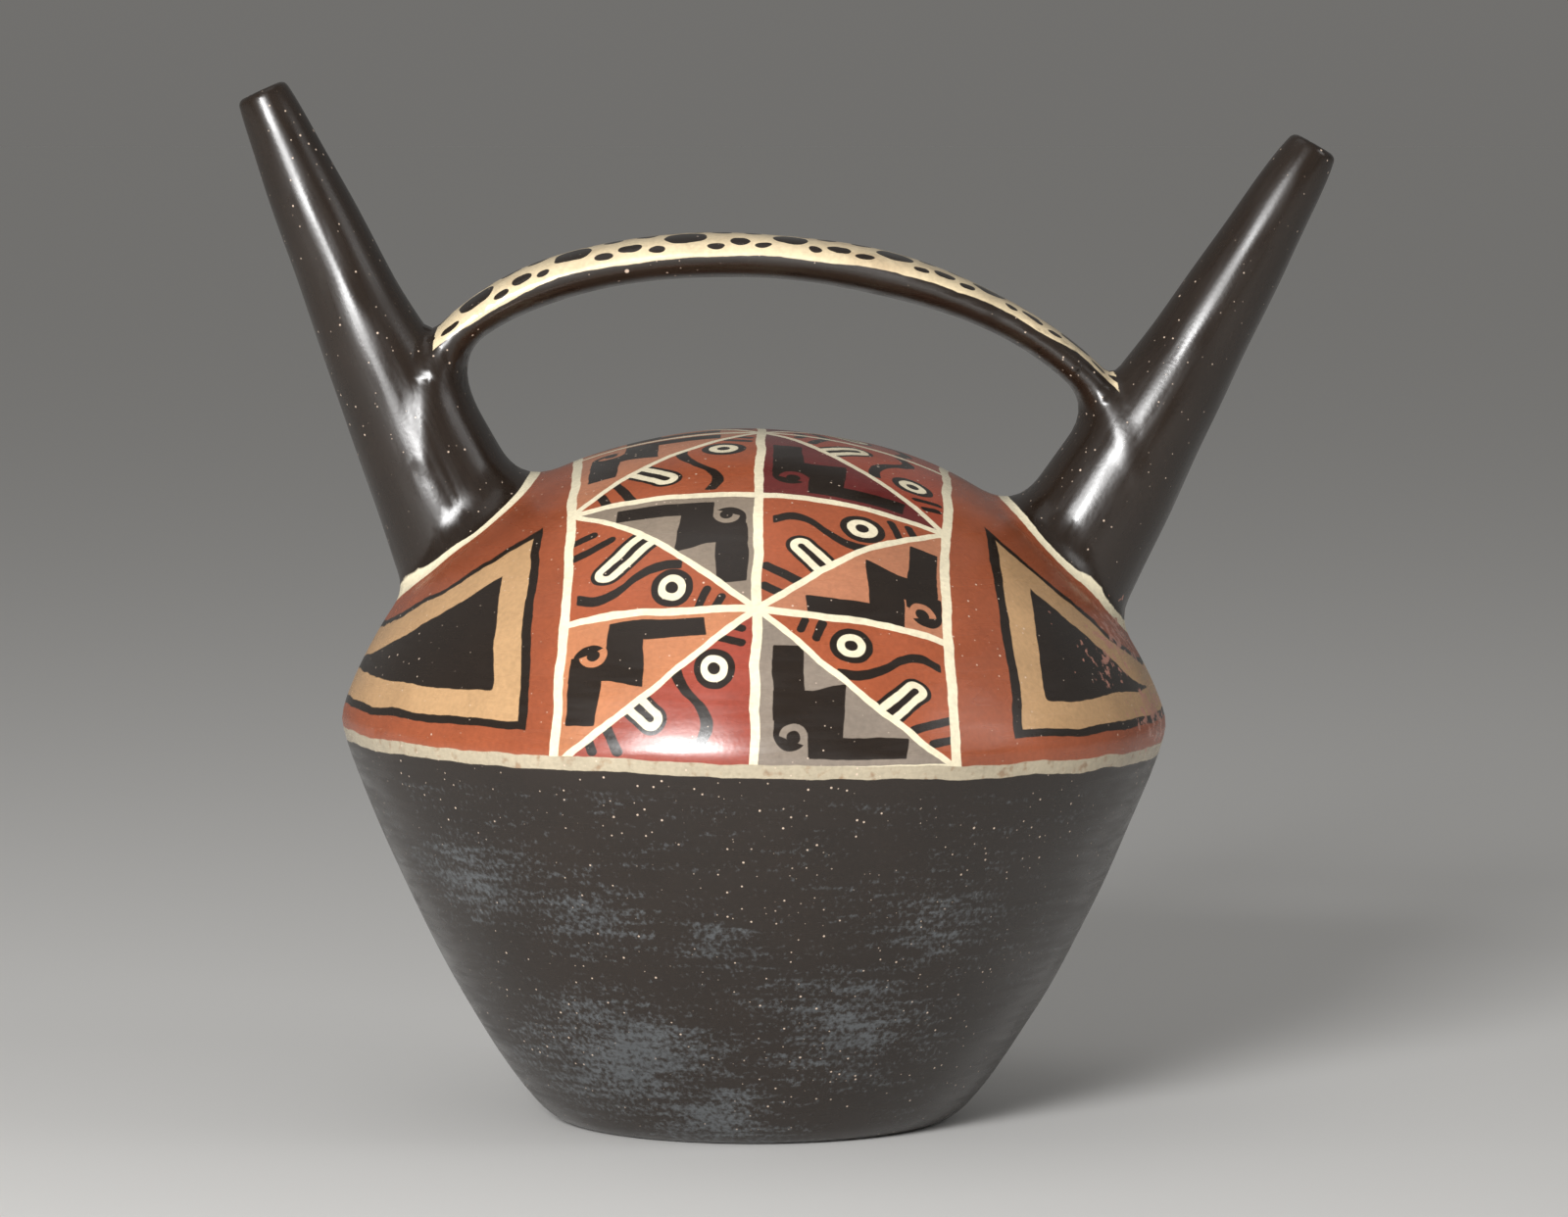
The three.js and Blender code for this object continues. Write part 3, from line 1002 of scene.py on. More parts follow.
class PanelGrid:
    """Where a point lies in the panel: three rows of two cells, each split by a slanting line."""

    def __init__(self, clay: "PaintedClay") -> None:
        """Find the row, the side and the half of the cell that a point lies in."""
        self.clay = clay
        self.add = clay.add
        self.form = PanelForm()
        angle = self.angle()
        self.rung = self.climbed(angle)
        last = self.add("Math", (self.rung, self.form.last_rung), operation="MINIMUM")
        self.row = self.add("Math", (last,), operation="FLOOR")
        self.in_second = self.add("Math", (self.row, 1.0, 0.5), operation="COMPARE")
        self.height = self.row_height()
        self.side, self.width, self.across = self.sideways(angle)
        up = self.add("Math", (self.rung, self.row), operation="SUBTRACT")
        up = self.add("Math", (self.in_second, up), operation="SUBTRACT")
        self.up = self.add("Math", (up,), operation="ABSOLUTE")
        self.total = self.add("Math", (self.across, self.up), operation="ADD")
        self.upper = self.add("Math", (self.total, 1.0), operation="GREATER_THAN")
        self.is_fret, self.half_cell = self.halves()

    def angle(self) -> Value:
        """Give the height as an angle about a line inside the body, with the lowest row's sag added."""
        add, form, clay = self.add, self.form, self.clay
        ridge = add("Math", (clay.x, form.ridge_slant, form.ridge_place), operation="MULTIPLY_ADD")
        out = add("Math", (clay.y, ridge), operation="SUBTRACT")
        out = add("Math", (out,), operation="ABSOLUTE")
        up = add("Math", (clay.z, form.pivot_height), operation="SUBTRACT")
        angle = add("Math", (up, out), operation="ARCTAN2")
        angle = add("Math", (angle,), operation="DEGREES")
        low = add("Math", (angle, form.rows[1]), operation="SUBTRACT")
        low = add("Math", (low,), operation="ABSOLUTE")
        low = add("Math", (low, -1 / form.rows[1], 1.0), operation="MULTIPLY_ADD", use_clamp=True)
        base, more_right = form.sag
        steep = add("Math", (clay.right, 2 * more_right, base - more_right), operation="MULTIPLY_ADD")
        square = add("Math", (clay.x, clay.x), operation="MULTIPLY")
        sag = add("Math", (square, steep), operation="MULTIPLY")
        sag = add("Math", (sag, low), operation="MULTIPLY")
        return add("Math", (angle, sag), operation="ADD")

    def climbed(self, angle: Value) -> Value:
        """Count the rows climbed from the belly, with the share of the last one."""
        rung = 0.0
        for start, end in zip(self.form.rows[:-1], self.form.rows[1:]):
            share = self.add("MapRange", (angle, start, end, 0.0, 1.0))
            rung = self.add("Math", (rung, share), operation="ADD")
        return rung

    def row_height(self) -> Value:
        """Give the height of the row in millimetres."""
        first, second, third = self.form.row_heights
        in_third = self.add("Math", (self.row, 1.5), operation="GREATER_THAN")
        height = self.add("Math", (self.in_second, second - first, first), operation="MULTIPLY_ADD")
        return self.add("Math", (in_third, third - first, height), operation="MULTIPLY_ADD")

    def sideways(self, angle: Value) -> tuple[Value, Value, Value]:
        """Give which side of the middle post a point is on, the cell's width and the share of it crossed."""
        add, form = self.add, self.form
        middle = add("Math", (angle, form.middle[1], form.middle[0]), operation="MULTIPLY_ADD")
        off = add("Math", (self.clay.x, middle), operation="SUBTRACT")
        side = add("Math", (off, 0.0), operation="GREATER_THAN")
        width = add("MapRange", (angle, 0.0, form.half_width_top, *form.half_width))
        off = add("Math", (off,), operation="ABSOLUTE")
        return side, width, add("Math", (off, width), operation="DIVIDE")

    def halves(self) -> tuple[Value, Value]:
        """Give 1 in the half of a cell that has the fret, and the half's number."""
        add = self.add
        parity = add("Math", (self.side, self.row), operation="ADD")
        parity = add("Math", (parity, 2.0), operation="MODULO")
        is_fret = add("Math", (self.upper, parity), operation="SUBTRACT")
        is_fret = add("Math", (is_fret,), operation="ABSOLUTE")
        cell = add("Math", (self.row, 2.0, self.side), operation="MULTIPLY_ADD")
        return is_fret, add("Math", (cell, 2.0, is_fret), operation="MULTIPLY_ADD")

    def base_place(self, on_its_side: Value) -> tuple[Value, Value]:
        """Measure a point from the corner across from the slanting line.

        Args:
            on_its_side: 1 where the cell's face is turned, so that its two lengths change places.

        Returns:
            The two lengths in millimetres.
        """
        add = self.add
        lengths = []
        for share, scale in ((self.across, self.width), (self.up, self.height)):
            share = add("Math", (self.upper, share), operation="SUBTRACT")
            share = add("Math", (share,), operation="ABSOLUTE")
            lengths.append(add("Math", (share, scale), operation="MULTIPLY"))
        along, up = lengths
        turned = add("Math", (on_its_side, self.is_fret), operation="SUBTRACT", use_clamp=True)
        swing = add("Math", (up, along), operation="SUBTRACT")
        swing = add("Math", (swing, turned), operation="MULTIPLY")
        return add("Math", (along, swing), operation="ADD"), add("Math", (up, swing), operation="SUBTRACT")

    def lines(self) -> Value:
        """Give the distance to the cream lines: along the rows, up the posts and down the slants."""
        add, form = self.add, self.form
        rows = add("Math", (self.rung, 0.5), operation="PINGPONG")
        posts = add("Math", (self.across, 0.5), operation="PINGPONG")
        slants = add("Math", (self.total, 1.0), operation="SUBTRACT")
        slants = add("Math", (slants,), operation="ABSOLUTE")
        kinds = (
            (rows, self.height, form.row_line),
            (posts, self.width, form.post_line),
            (slants, form.slant_scale, form.slant_line),
        )
        return self.clay.brush.nearest(
            [add("Math", (share, scale, -half), operation="MULTIPLY_ADD") for share, scale, half in kinds]
        )

    def beyond_edge(self) -> Value:
        """Give the distance beyond the outer posts."""
        edge = self.add("Math", (self.across, 1.0), operation="SUBTRACT")
        edge = self.add("Math", (edge, self.width), operation="MULTIPLY")
        return self.add("Math", (edge, self.form.post_line), operation="SUBTRACT")


class PaintedClay:
    """Burnished earthenware under painted slips, with the wear of a long burial.

    Earthenware is a dull, warm clay. Rubbed with a pebble before firing, its slip takes a soft,
    streaky shine, which the eye reads as broad highlights with faint strokes in them.
    """

    def __init__(self) -> None:
        """Lay out the coordinates that all the painting is measured in."""
        self.slips = Slips()
        self.sheet = Sheet("slip_painted_clay")
        self.brush = Brush(self.sheet)
        self.add = self.sheet.add
        place = self.add("TexCoord", out="Object")
        self.at = self.add("VectorMath", {0: place, "Scale": 1 / MM}, operation="SCALE")
        self.x, self.y, self.z = self.add("SeparateXYZ", (self.at,)).node.outputs
        self.right = self.add("Math", (self.x, 0.0), operation="GREATER_THAN")
        self.reach = self.add("Math", (self.x,), operation="ABSOLUTE")
        self.spout_out, self.from_axis, self.spout_grain = self.spout_place()
        self.x, self.y, self.z = self.add("SeparateXYZ", (self.hand_drawn(),)).node.outputs
        self.reach = self.add("Math", (self.x,), operation="ABSOLUTE")
        self.above = self.above_band()

    def sided(self, pair: Pair) -> Value:
        """Give the first number on the left, with the second added on the right."""
        return self.add("Math", (self.right, pair[1], pair[0]), operation="MULTIPLY_ADD")

    def sway(self, place: Value, size: float, reach: Sequence[float]) -> Value:
        """Shift a place about by as much as reach, in swells of that size."""
        shift = self.add("TexNoise", clouds(self.at, size, 1.0), out="Color")
        shift = self.add("VectorMath", (shift, (0.5, 0.5, 0.5)), operation="SUBTRACT")
        return self.add("VectorMath", (shift, reach, place), operation="MULTIPLY_ADD")

    def uneven(self, clean: str, other: str, kind: Uneven) -> Value:
        """Lay one slip unevenly over another."""
        share = self.add("TexNoise", clouds(self.at, kind.value.size))
        gain, start, strength = kind.value.gain, kind.value.start, kind.value.strength
        share = self.add("Math", (share, gain, start), operation="MULTIPLY_ADD", use_clamp=True)
        share = self.add("Math", (share, strength), operation="MULTIPLY")
        return self.brush.lay(linear(clean), linear(other), share)

    def spread(
        self, place: Value, spots: Iterable[tuple[Sequence[float], float, float]], elsewhere: float
    ) -> Value:
        """Give how strong some soft spots are at a place.

        Args:
            place: where to look.
            spots: each spot's centre, radius and strength.
            elsewhere: the strength far from all of them.

        Returns:
            The strength of the strongest.
        """
        strongest = elsewhere
        for centre, radius, strength in spots:
            away = self.add("VectorMath", (place, centre), out="Value", operation="DISTANCE")
            spot = self.add("Math", (away, -strength / radius, strength), operation="MULTIPLY_ADD")
            strongest = self.add("Math", (strongest, spot), operation="MAXIMUM")
        return strongest

    def curve(self, value: Value, points: Sequence[Pair]) -> Value:
        """Read a smooth curve through points whose numbers all lie from 0 to 1."""
        node = self.add("FloatCurve", {1: value}).node
        line = node.mapping.curves[0]
        for number, (x, y) in enumerate(points):
            spot = line.points[number] if number < 2 else line.points.new(x, y)
            spot.location = (x, y)
        node.mapping.update()
        return node.outputs[0]

    def hand_drawn(self) -> Value:
        """Let painted edges waver as a hand does: slowly by a few tenths of a millimetre, and finely."""
        at = self.at
        for size, reach in HAND_SWAYS:
            at = self.sway(at, size, (reach, reach, reach))
        return at

    def above_band(self) -> Value:
        """Measure height above the cream band round the belly, which drops to the right."""
        form = BandForm()
        drop = self.add("Math", (self.x, form.slant, form.height), operation="MULTIPLY_ADD")
        left = self.add("Math", (self.x, 0.0), operation="MINIMUM")
        left = self.add("Math", (left, left), operation="MULTIPLY")
        middle = self.add("Math", (left, form.left_bend, drop), operation="MULTIPLY_ADD")
        return self.add("Math", (self.z, middle), operation="SUBTRACT")

    def spout_place(self) -> tuple[Value, Value, Value]:
        """Measure from the nearer spout's axis.

        Returns:
            The distance outward from the axis, the distance from it all round, and a grain that runs up it.
        """
        add, form = self.add, SpoutPlace()
        along_x = add("Math", (self.reach, self.sided(form.reach)), operation="SUBTRACT")
        along_z = add("Math", (self.z, self.sided(form.height)), operation="SUBTRACT")
        sine, cosine = self.sided(form.sine), self.sided(form.cosine)
        up = add("Math", (along_z, cosine), operation="MULTIPLY")
        up = add("Math", (along_x, sine, up), operation="MULTIPLY_ADD")
        out = add("Math", (along_z, sine), operation="MULTIPLY")
        out = add("Math", (add("Math", (along_x, cosine), operation="MULTIPLY"), out), operation="SUBTRACT")
        grain = add("CombineXYZ", (out, self.y, add("Math", (up, form.grain), operation="MULTIPLY")))
        square = add("Math", (self.y, self.y), operation="MULTIPLY")
        square = add("Math", (out, out, square), operation="MULTIPLY_ADD")
        from_axis = add("Math", (square,), operation="SQRT")
        return out, from_axis, grain

    def keyed(self, key: Value, values: Sequence[Sequence[float]]) -> bpy.types.Node:
        """Look up one of several colours by a whole number.

        Args:
            key: the number, counted from 0.
            values: the colours with their alphas, in order.

        Returns:
            The ramp that holds them.
        """
        count = len(values)
        share = self.add("Math", (key, 1 / count, 0.5 / count), operation="MULTIPLY_ADD")
        ramp = self.add("ValToRGB", (share,)).node
        stops = ramp.color_ramp
        stops.interpolation = "CONSTANT"
        for number, value in enumerate(values):
            stop = stops.elements[number] if number < 2 else stops.elements.new(number / count)
            stop.position = number / count
            stop.color = value
        return ramp

    def face(self, along: Value, eye: Value, shift: Value) -> tuple[Value, Value]:
        """Draw one face.

        Args:
            along: the place that its mouth, brow and lashes are drawn from.
            eye: the place that its eye is drawn from.
            shift: how far the mouth's place is moved, which the brow follows only in part.

        Returns:
            The distances to its dark shapes and to its cream ones.
        """
        add, brush, form = self.add, self.brush, FaceForm()
        across, height, _ = add("SeparateXYZ", (along,)).node.outputs
        points = [(y / form.scale, x / form.scale) for x, y in form.brow]
        share = add("Math", (height, form.scale), operation="DIVIDE")
        bend = self.curve(share, [(0, points[0][1]), *points])
        own_shift = add("Math", (shift, form.brow_share), operation="MULTIPLY")
        wave = add("Math", (own_shift, across), operation="SUBTRACT")
        wave = add("Math", (wave, -1 / form.scale), operation="MULTIPLY")
        wave = add("Math", (add("Math", (wave, bend), operation="SUBTRACT"),), operation="ABSOLUTE")
        wave = add("Math", (wave, form.brow_lean * form.scale, -form.brow_half), operation="MULTIPLY_ADD")
        low, high = form.brow_span
        span = brush.belt(height, (low + high) / 2, (high - low) / 2)
        dark = add("Math", (wave, span, form.brow_round), operation="SMOOTH_MAX")
        for lash in form.lashes:
            dark = brush.nearest([dark, brush.stroke(along, *lash, form.lash_half)])
        for mark in form.marks:
            dark = brush.nearest([dark, brush.stroke(eye, *mark, form.mark_half)])
        mouth = brush.stroke(along, *form.mouth, form.lip_rim)
        iris = brush.spot(eye, form.eye, form.eye_rim)
        dark = brush.nearest([dark, mouth, iris])
        lip_middle = (form.mouth_slit + form.lips) / 2 - form.lip_rim
        lips = brush.belt(mouth, lip_middle, (form.lips - form.mouth_slit) / 2)
        ring_middle = (form.pupil + form.eye_ring) / 2 - form.eye_rim
        ring = brush.belt(iris, ring_middle, (form.eye_ring - form.pupil) / 2)
        return dark, brush.nearest([lips, ring])

    def fret(self, at: Value, curl: Value) -> Value:
        """Draw a stepped fret that ends in a curl, as one dark shape."""
        brush, form = self.brush, FretForm()
        crest = brush.spot(curl, form.crest, form.crest_radius)
        dark = brush.nearest([crest, brush.patch(curl, form.throat)])
        for corners in form.steps:
            dark = brush.nearest([dark, brush.patch(at, corners)])
        gap = brush.belt(brush.spot(curl, form.curl, 0.0), *form.gap)
        behind = brush.edge(curl, form.curl, form.gap_facing)
        behind = self.add("Math", (behind, form.gap_start), operation="SUBTRACT")
        gap = self.add("Math", (brush.common([gap, behind]), -1.0), operation="MULTIPLY")
        return brush.common([dark, gap])

    def panel(self, below: Value) -> Value:
        """Paint the panel: a face and a fret in each cell, and the cream lines between."""
        add, brush, grid = self.add, self.brush, PanelGrid(self)
        ground = self.keyed(grid.half_cell, [colour for cell in Cell for colour in cell.grounds])
        shifts = self.cell_shifts(grid)
        along, up = grid.base_place(ground.outputs[1])
        places = []
        for across_shift, up_shift in (shifts[:2], shifts[2:]):
            moved_along = add("Math", (along, across_shift), operation="ADD")
            moved_up = add("Math", (up, up_shift), operation="ADD")
            places.append(add("CombineXYZ", (moved_along, moved_up, 1.0)))
        dark, cream = self.face(places[1], places[0], shifts[2])
        dark = add("Mix", {0: grid.is_fret, 2: brush.cover(dark), 3: brush.cover(self.fret(*places))})
        colour = brush.lay(ground.outputs[0], linear(self.slips.dark), dark)
        cream = add("Math", (brush.cover(cream), grid.is_fret), operation="SUBTRACT", use_clamp=True)
        colour = brush.lay(colour, linear(self.slips.cream), cream)
        colour = brush.paint(colour, self.slips.cream, grid.lines())
        return brush.lay(below, colour, brush.cover(grid.beyond_edge()))

    def cell_shifts(self, grid: "PanelGrid") -> list[Value]:
        """Look up the cell's two shifts, which a ramp can only hold as shares from 0 to 1."""
        span = grid.form.shift_span
        packed = [[0.5 - s / span for s in shifts] for cell in Cell for shifts in cell.shifts]
        ramp = self.keyed(grid.half_cell, packed)
        shares = [*self.add("SeparateColor", (ramp.outputs[0],)).node.outputs, ramp.outputs[1]]
        return [self.add("Math", (share, span, -span / 2), operation="MULTIPLY_ADD") for share in shares]

    def side_field(self, below: Value) -> Value:
        """Paint the nested black, tan and dark field on each flank of the dome."""
        add, brush, form = self.add, self.brush, FieldForm()
        inner = add("Math", (self.z, self.sided(form.inner_lean), self.reach), operation="MULTIPLY_ADD")
        inner = add("Math", (self.sided(form.inner_edge), inner), operation="SUBTRACT")
        bottom = add("Math", (form.bottom_edge, self.above), operation="SUBTRACT")
        top = add("Math", (self.reach, self.sided(form.top_fall), self.z), operation="MULTIPLY_ADD")
        top = add("Math", (top, self.sided(form.top_edge)), operation="SUBTRACT")
        colour = brush.paint(below, self.slips.dark, brush.common([inner, bottom, top]))
        tan = [add("Math", pair, operation="ADD") for pair in zip((inner, bottom, top), form.tan_in)]
        colour = brush.paint(colour, self.slips.tan, brush.common(tan))
        core = [add("Math", pair, operation="ADD") for pair in zip((inner, bottom, top), form.core_in)]
        corner = add("Math", (core[0], core[1], form.core_round), operation="SMOOTH_MAX")
        return brush.paint(colour, self.slips.dark, brush.common([corner, core[2]]))

    def foot_rings(self, below: Value) -> Value:
        """Paint a cream ring round each spout's foot, and all above it dark."""
        add, brush, form = self.add, self.brush, RingForm()
        wide = add("Math", (self.y,), operation="ABSOLUTE")
        turn = add("Math", (wide, self.spout_out), operation="ARCTAN2")
        turn = add("Math", (turn, math.pi), operation="DIVIDE")
        radii = [
            self.curve(turn, [(angle / 180, r / form.scale) for angle, r in zip(form.angles, side)])
            for side in (form.left, form.right)
        ]
        radius = add("Mix", {0: self.right, 2: radii[0], 3: radii[1]})
        radius = add("Math", (radius, form.scale), operation="MULTIPLY")
        beyond = add("Math", (self.from_axis, radius), operation="SUBTRACT")
        high = add("Math", (form.clear_height, self.z), operation="SUBTRACT")
        colour = brush.paint(below, self.slips.cream, add("Math", (beyond, form.half), operation="SUBTRACT"))
        dark = brush.nearest([add("Math", (beyond, form.half), operation="ADD"), high])
        return brush.paint(colour, self.slips.dark, dark)

    def strap(self, below: Value) -> Value:
        """Paint the strap's top cream with dark spots, down to a line along its middle."""
        add, brush, form = self.add, self.brush, StrapForm()
        start = 0.5 - 0.5 * form.middle / form.half_span
        share = add("Math", (self.x, 0.5 / form.half_span, start), operation="MULTIPLY_ADD")
        points = [
            ((x - form.middle) / form.half_span / 2 + 0.5, (z - form.low) / form.rise) for x, z in form.edge
        ]
        middle = add("Math", (self.curve(share, points), form.rise, form.low), operation="MULTIPLY_ADD")
        rise = add("Math", (self.z, middle), operation="SUBTRACT")
        start = add("Math", (self.sided(form.ends), self.from_axis), operation="SUBTRACT")
        low = add("Math", (form.low + form.clear, self.z), operation="SUBTRACT")
        dip = add("Math", (rise, -1.0), operation="MULTIPLY")
        cream = brush.cover(brush.common([dip, start, low]))
        cube = add("Math", (self.x, self.x), operation="MULTIPLY")
        cube = add("Math", (cube, self.x), operation="MULTIPLY")
        along = add("Math", (cube, form.bend, self.x), operation="MULTIPLY_ADD")
        early = add("Math", (form.first, self.x), operation="SUBTRACT")
        early = add("Math", (early, 0.0), operation="MAXIMUM")
        along = add("Math", (early, form.stretch, along), operation="MULTIPLY_ADD")
        along = add("Math", (along, form.first), operation="SUBTRACT")
        wide = add("Math", (self.y,), operation="ABSOLUTE")
        wide = add("Math", (wide, form.half_width), operation="DIVIDE")
        high = add("Math", (rise, form.half_depth), operation="DIVIDE")
        high = add("Math", (high, 0.0), operation="MAXIMUM")
        turn = add("Math", (high, wide), operation="ARCTAN2")
        turn = add("Math", (turn, form.round_scale * form.oblong), operation="MULTIPLY")
        back = add("Math", (self.y, 0.0), operation="GREATER_THAN")
        along = add("Math", (back, form.repeat, along), operation="MULTIPLY_ADD")
        along = add("Math", (along, form.repeat), operation="PINGPONG")
        place = self.sway(add("CombineXYZ", (along, turn, 1.0)), form.sway_size, form.sway)
        spots = brush.nearest([brush.spot(place, centre, radius) for centre, radius in form.spots])
        colour = self.uneven(self.slips.strap_cream, self.slips.stain, Uneven.STRAP_STAIN)
        colour = brush.paint(colour, self.slips.dark, spots)
        return brush.lay(below, colour, cream)

    def band(self, below: Value) -> Value:
        """Paint the cream band round the belly, and the dark slip below it."""
        brush, form = self.brush, BandForm()
        cream = self.uneven(self.slips.band, self.slips.stain, Uneven.BAND_PITS)
        top = self.add("Math", (self.above, form.half), operation="SUBTRACT")
        colour = brush.lay(below, cream, brush.cover(top))
        below_band = self.add("Math", (self.above, form.half), operation="ADD")
        return brush.paint(colour, self.slips.dark, below_band)

    def bloom(self, below: Value) -> Value:
        """Lay the bluish haze of salts on the lower body, in streaks along the burnishing strokes."""
        add, form = self.add, Bloom()
        place = add("VectorMath", (self.at, (1.0, 0.0, form.flatten)), operation="MULTIPLY")
        spots = [((x, 0.0, form.flatten * z), radius, strength) for (x, z), radius, strength in form.spots]
        share = self.spread(place, spots, form.elsewhere)
        share = add("Math", (share, form.spot_gain, form.start), operation="MULTIPLY_ADD")
        run = add("VectorMath", (self.at, form.run), operation="MULTIPLY")
        for at, (size, gain) in ((run, form.streak), (self.at, form.grain)):
            share = add("Math", (add("TexNoise", clouds(at, size)), gain, share), operation="MULTIPLY_ADD")
        share = add("Math", (share, 0.0), operation="ADD", use_clamp=True)
        inside = add("Math", (self.above, *form.fade), operation="MULTIPLY_ADD", use_clamp=True)
        share = add("Math", (share, inside), operation="MULTIPLY")
        share = add("Math", (share, form.strength), operation="MULTIPLY")
        return self.brush.lay(below, linear(self.slips.bloom), share)

    def specks(self, below: Value) -> Value:
        """Scatter tiny pale pits, where grains of the clay show through the slip."""
        add, brush, form = self.add, self.brush, Specks()
        worn = add("TexNoise", clouds(self.at, form.worn_size, 1.0))
        for spacing, radius, chosen in form.kinds:
            node = add("TexVoronoi", {"Vector": self.at, "Scale": 1 / spacing}).node
            away = add("Math", (node.outputs["Distance"], spacing), operation="MULTIPLY")
            rare = add("Math", (add("SeparateXYZ", (node.outputs["Color"],)), worn), operation="MULTIPLY")
            size = add("Math", (rare, chosen * 0.5), operation="SUBTRACT")
            size = add("Math", (size, form.growth * radius), operation="MULTIPLY")
            size = add("Math", (size, radius), operation="MINIMUM")
            share = brush.cover(add("Math", (away, size), operation="SUBTRACT"))
            share = add("Math", (share, form.strength), operation="MULTIPLY")
            below = brush.lay(below, linear(self.slips.speck), share)
        return below

    def flakes(self, below: Value) -> Value:
        """Bare the pinkish clay where the slip has flaked off, most of all on the right shoulder."""
        add, form = self.add, Flakes()
        place = add("VectorMath", (self.at, form.squash), operation="MULTIPLY")
        share = self.spread(place, form.spots, form.elsewhere)
        torn_size, torn_gain = form.torn
        torn = add("TexNoise", clouds(self.at, torn_size, 3.0))
        share = add("Math", (torn, torn_gain, share), operation="MULTIPLY_ADD")
        share = add("Math", (share, *form.edge), operation="MULTIPLY_ADD", use_clamp=True)
        share = add("Math", (share, form.strength), operation="MULTIPLY")
        return self.brush.lay(below, linear(self.slips.bare_clay), share)

    def tone(self, below: Value) -> Value:
        """Vary the tone in cloudy patches and fine grain, as thin slips do."""
        value = TONE_LEVEL
        for (size, gain), detail in ((TONE_CLOUD, 2.0), (TONE_GRAIN, 1.0)):
            noise = self.add("TexNoise", clouds(self.at, size, detail))
            value = self.add("Math", (noise, gain, value), operation="MULTIPLY_ADD")
        return self.add("HueSaturation", {"Value": value, "Color": below})

    def burnished(self, colour: Value) -> Value:
        """Give the painted clay the shine and the fine strokes that a pebble leaves."""
        add, form = self.add, Burnish()
        near_spout = add("Math", (self.from_axis, form.spout_reach), operation="LESS_THAN")
        belly = add("VectorMath", (self.at, form.belly_run), operation="MULTIPLY")
        strokes = add("Mix", {0: near_spout, 4: belly, 5: self.spout_grain}, out=1, data_type="VECTOR")
        strokes = add("TexNoise", clouds(strokes, form.stroke_size, 1.0))
        rough = add("Math", (strokes, form.stroke_roughness, form.roughness), operation="MULTIPLY_ADD")
        cloud = add("TexNoise", clouds(self.at, form.cloud_size, 0.0))
        rough = add("Math", (cloud, form.cloud_roughness, rough), operation="MULTIPLY_ADD")
        height = add("Math", (cloud, form.cloud_height), operation="MULTIPLY")
        height = add("Math", (strokes, form.stroke_height, height), operation="MULTIPLY_ADD")
        grit = add("TexNoise", clouds(self.at, form.grit_size, 0.0))
        height = add("Math", (grit, form.grit_height, height), operation="MULTIPLY_ADD")
        normal = add("Bump", {"Strength": 1.0, "Distance": MM, "Height": height})
        shine = {"Roughness": rough, "Normal": normal, "Specular IOR Level": form.specular}
        return add("BsdfPrincipled", {"Base Color": colour, **shine})

    def build(self) -> bpy.types.Material:
        """Build the whole material, from the ground slip to the wear on top."""
        colour = self.uneven(self.slips.red, self.slips.smoke, Uneven.SMOKE)
        layers = (
            self.side_field, self.panel, self.foot_rings, self.strap, self.band,
            self.flakes, self.bloom, self.tone, self.specks,
        )
        for layer in layers:
            colour = layer(colour)
        self.add("OutputMaterial", {"Surface": self.burnished(colour)})
        LOG.info("painted clay: %d nodes", len(self.sheet.tree.nodes))
        return self.sheet.material


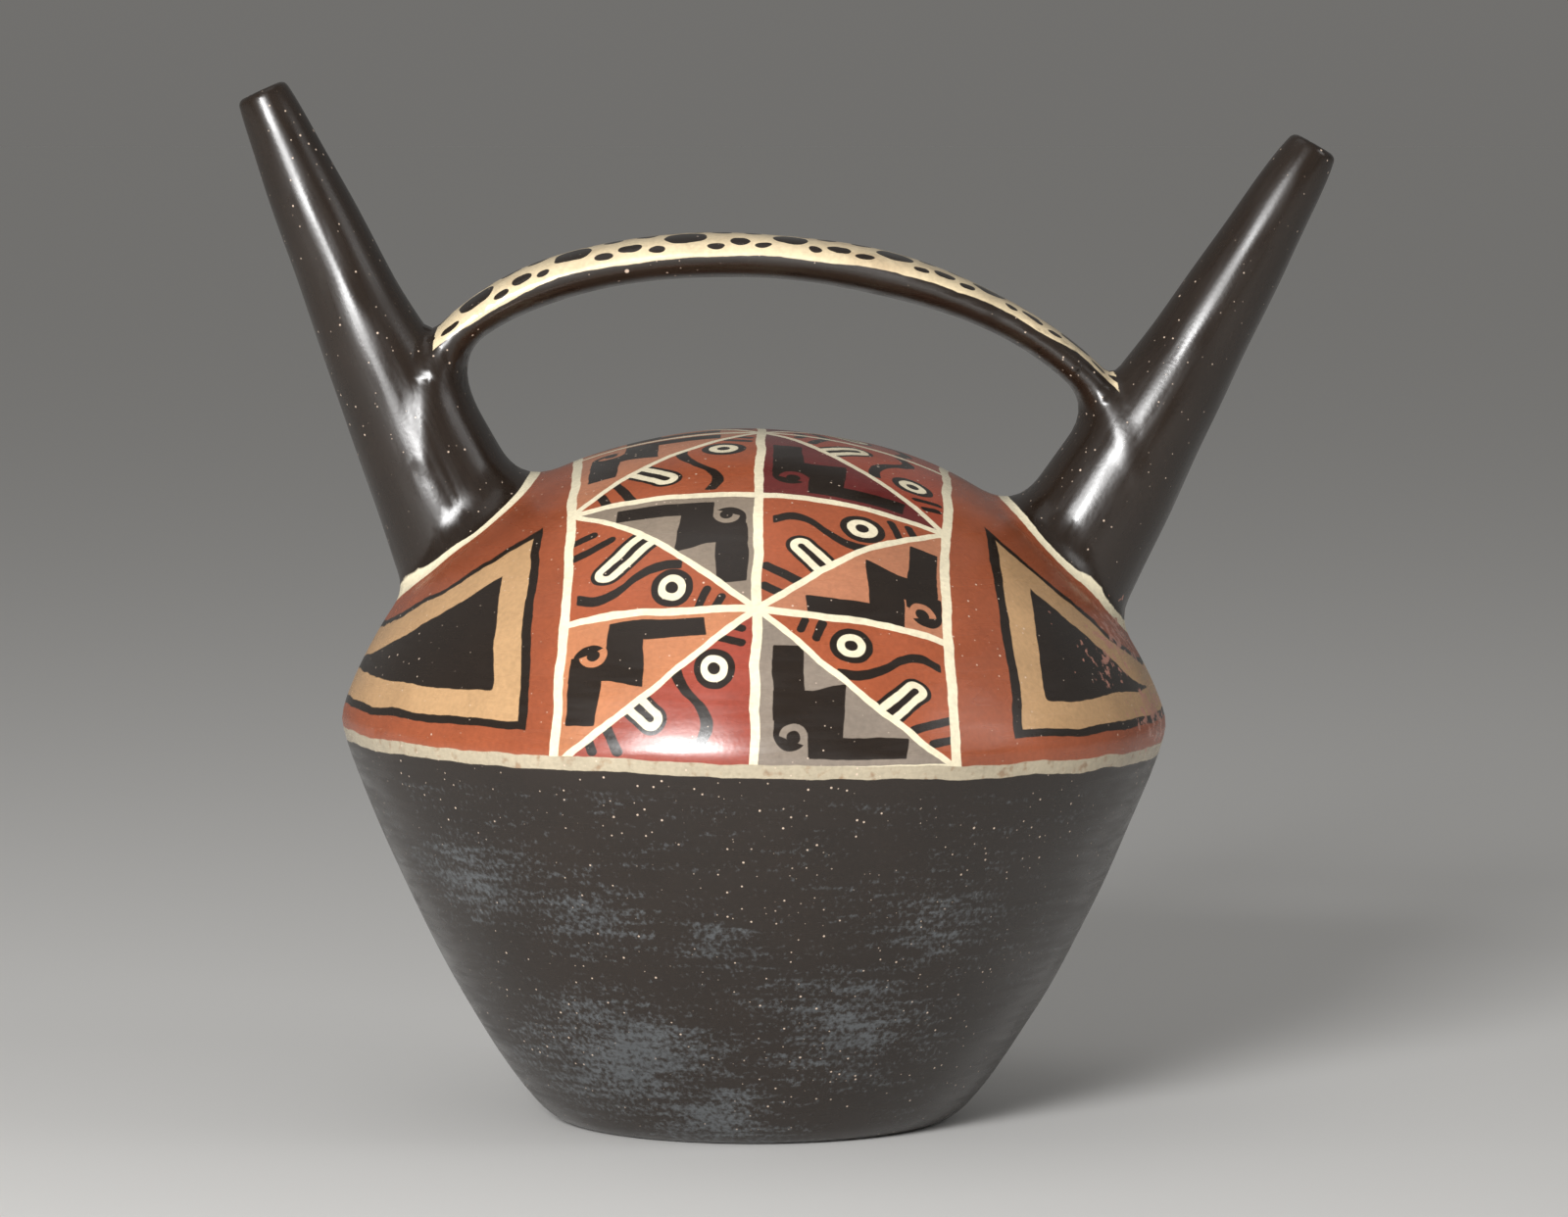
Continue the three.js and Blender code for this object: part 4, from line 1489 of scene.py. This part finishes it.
@dataclass(frozen=True)
class Studio:
    """Camera, lights and floor. Lengths are in metres, and the camera stands in front at -Y."""

    aim: tuple[float, float, float] = (0.0059, 0.0, 0.0993)
    camera: tuple[float, float, float] = (0.0059, -1.3536, 0.2060)
    lens: float = 160.4
    sensor: float = 36.0
    floor_size: float = 30.0
    floor_colour: tuple[float, float, float, float] = (0.78, 0.77, 0.75, 1.0)
    horizon: tuple[float, float, float, float] = (0.78, 0.762, 0.728, 1.0)
    sky: tuple[float, float, float, float] = (1.0, 0.99, 0.97, 1.0)
    sky_height: float = 0.5
    sky_strength: float = 0.21
    paper_roughness: float = 0.9
    softboxes: tuple[tuple[str, tuple[float, float, float], float, float], ...] = (
        ("softbox_left", (-0.42, -1.15, 0.45), 0.4, 19.0),
        ("softbox_right", (1.2, -0.5, 0.7), 0.6, 2.0),
        ("top_light", (-0.3, -0.1, 1.5), 1.0, 1.2),
    )

    def build(self) -> None:
        """Set up the camera, the soft lights and the pale floor."""
        camera = bpy.data.objects.new("camera", bpy.data.cameras.new("camera"))
        camera.data.lens = self.lens
        camera.data.sensor_width = self.sensor
        camera.location = self.camera
        camera.rotation_euler = (Vector(self.aim) - camera.location).to_track_quat("-Z", "Y").to_euler()
        bpy.context.scene.collection.objects.link(camera)
        bpy.context.scene.camera = camera
        for softbox in self.softboxes:
            self.light(*softbox)
        bpy.context.scene.view_settings.view_transform = "Standard"
        world = bpy.data.worlds.new("studio")
        world.use_nodes = True
        tree = world.node_tree
        tree.nodes["Background"].inputs["Strength"].default_value = self.sky_strength
        place = tree.nodes.new("ShaderNodeTexCoord")
        split = tree.nodes.new("ShaderNodeSeparateXYZ")
        ramp = tree.nodes.new("ShaderNodeValToRGB")
        ramp.color_ramp.elements[0].color = self.horizon
        ramp.color_ramp.elements[1].color = self.sky
        ramp.color_ramp.elements[1].position = self.sky_height
        tree.links.new(place.outputs["Generated"], split.inputs[0])
        tree.links.new(split.outputs["Z"], ramp.inputs[0])
        tree.links.new(ramp.outputs[0], tree.nodes["Background"].inputs["Color"])
        bpy.context.scene.world = world
        self.floor()

    def light(self, name: str, place: tuple[float, float, float], size: float, power: float) -> None:
        """Hang one square soft light that faces the vessel."""
        lamp = bpy.data.lights.new(name, "AREA")
        lamp.size = size
        lamp.energy = power
        holder = bpy.data.objects.new(name, lamp)
        holder.location = place
        holder.rotation_euler = (Vector(self.aim) - holder.location).to_track_quat("-Z", "Y").to_euler()
        bpy.context.scene.collection.objects.link(holder)

    def floor(self) -> None:
        """Lay a plain pale floor under the vessel."""
        half = self.floor_size / 2
        corners = [(-half, -half, 0), (half, -half, 0), (half, half, 0), (-half, half, 0)]
        mesh = bpy.data.meshes.new("floor")
        mesh.from_pydata(corners, [], [(0, 1, 2, 3)])
        floor = bpy.data.objects.new("floor", mesh)
        bpy.context.scene.collection.objects.link(floor)
        paper = bpy.data.materials.new("matt_paper")
        paper.use_nodes = True
        shader = paper.node_tree.nodes["Principled BSDF"]
        shader.inputs["Base Color"].default_value = self.floor_colour
        shader.inputs["Roughness"].default_value = self.paper_roughness
        mesh.materials.append(paper)
        LOG.info("studio: %d softboxes and a pale floor", len(self.softboxes))


def main() -> None:
    """Load the frame, build the vessel round it and set up the studio."""
    logging.basicConfig(level=logging.INFO, format="%(name)s: %(message)s")
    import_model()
    low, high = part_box(NODE)
    body = BodyForm(radius=(high.y - low.y) / 2 / MM)
    left = SpoutForm(-1, 22.7, 23.8, 93.9, 13.4, 5.45, 22.3, inner_fillet=9.0, outer_fillet=3.0, brace=2.0)
    right = SpoutForm(1, 18.6, 30.3, 93.4, 13.6, 5.3, 25.6, inner_fillet=9.0, outer_fillet=4.0, brace=0.8)
    form = VesselForm(body, left, right, BridgeForm())
    vessel = VesselMesher(form).build()
    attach(vessel, BODY)
    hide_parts(NODE)
    vessel.data.materials.append(PaintedClay().build())
    Studio().build()
    bpy.context.view_layer.update()


if __name__ == "__main__":
    main()
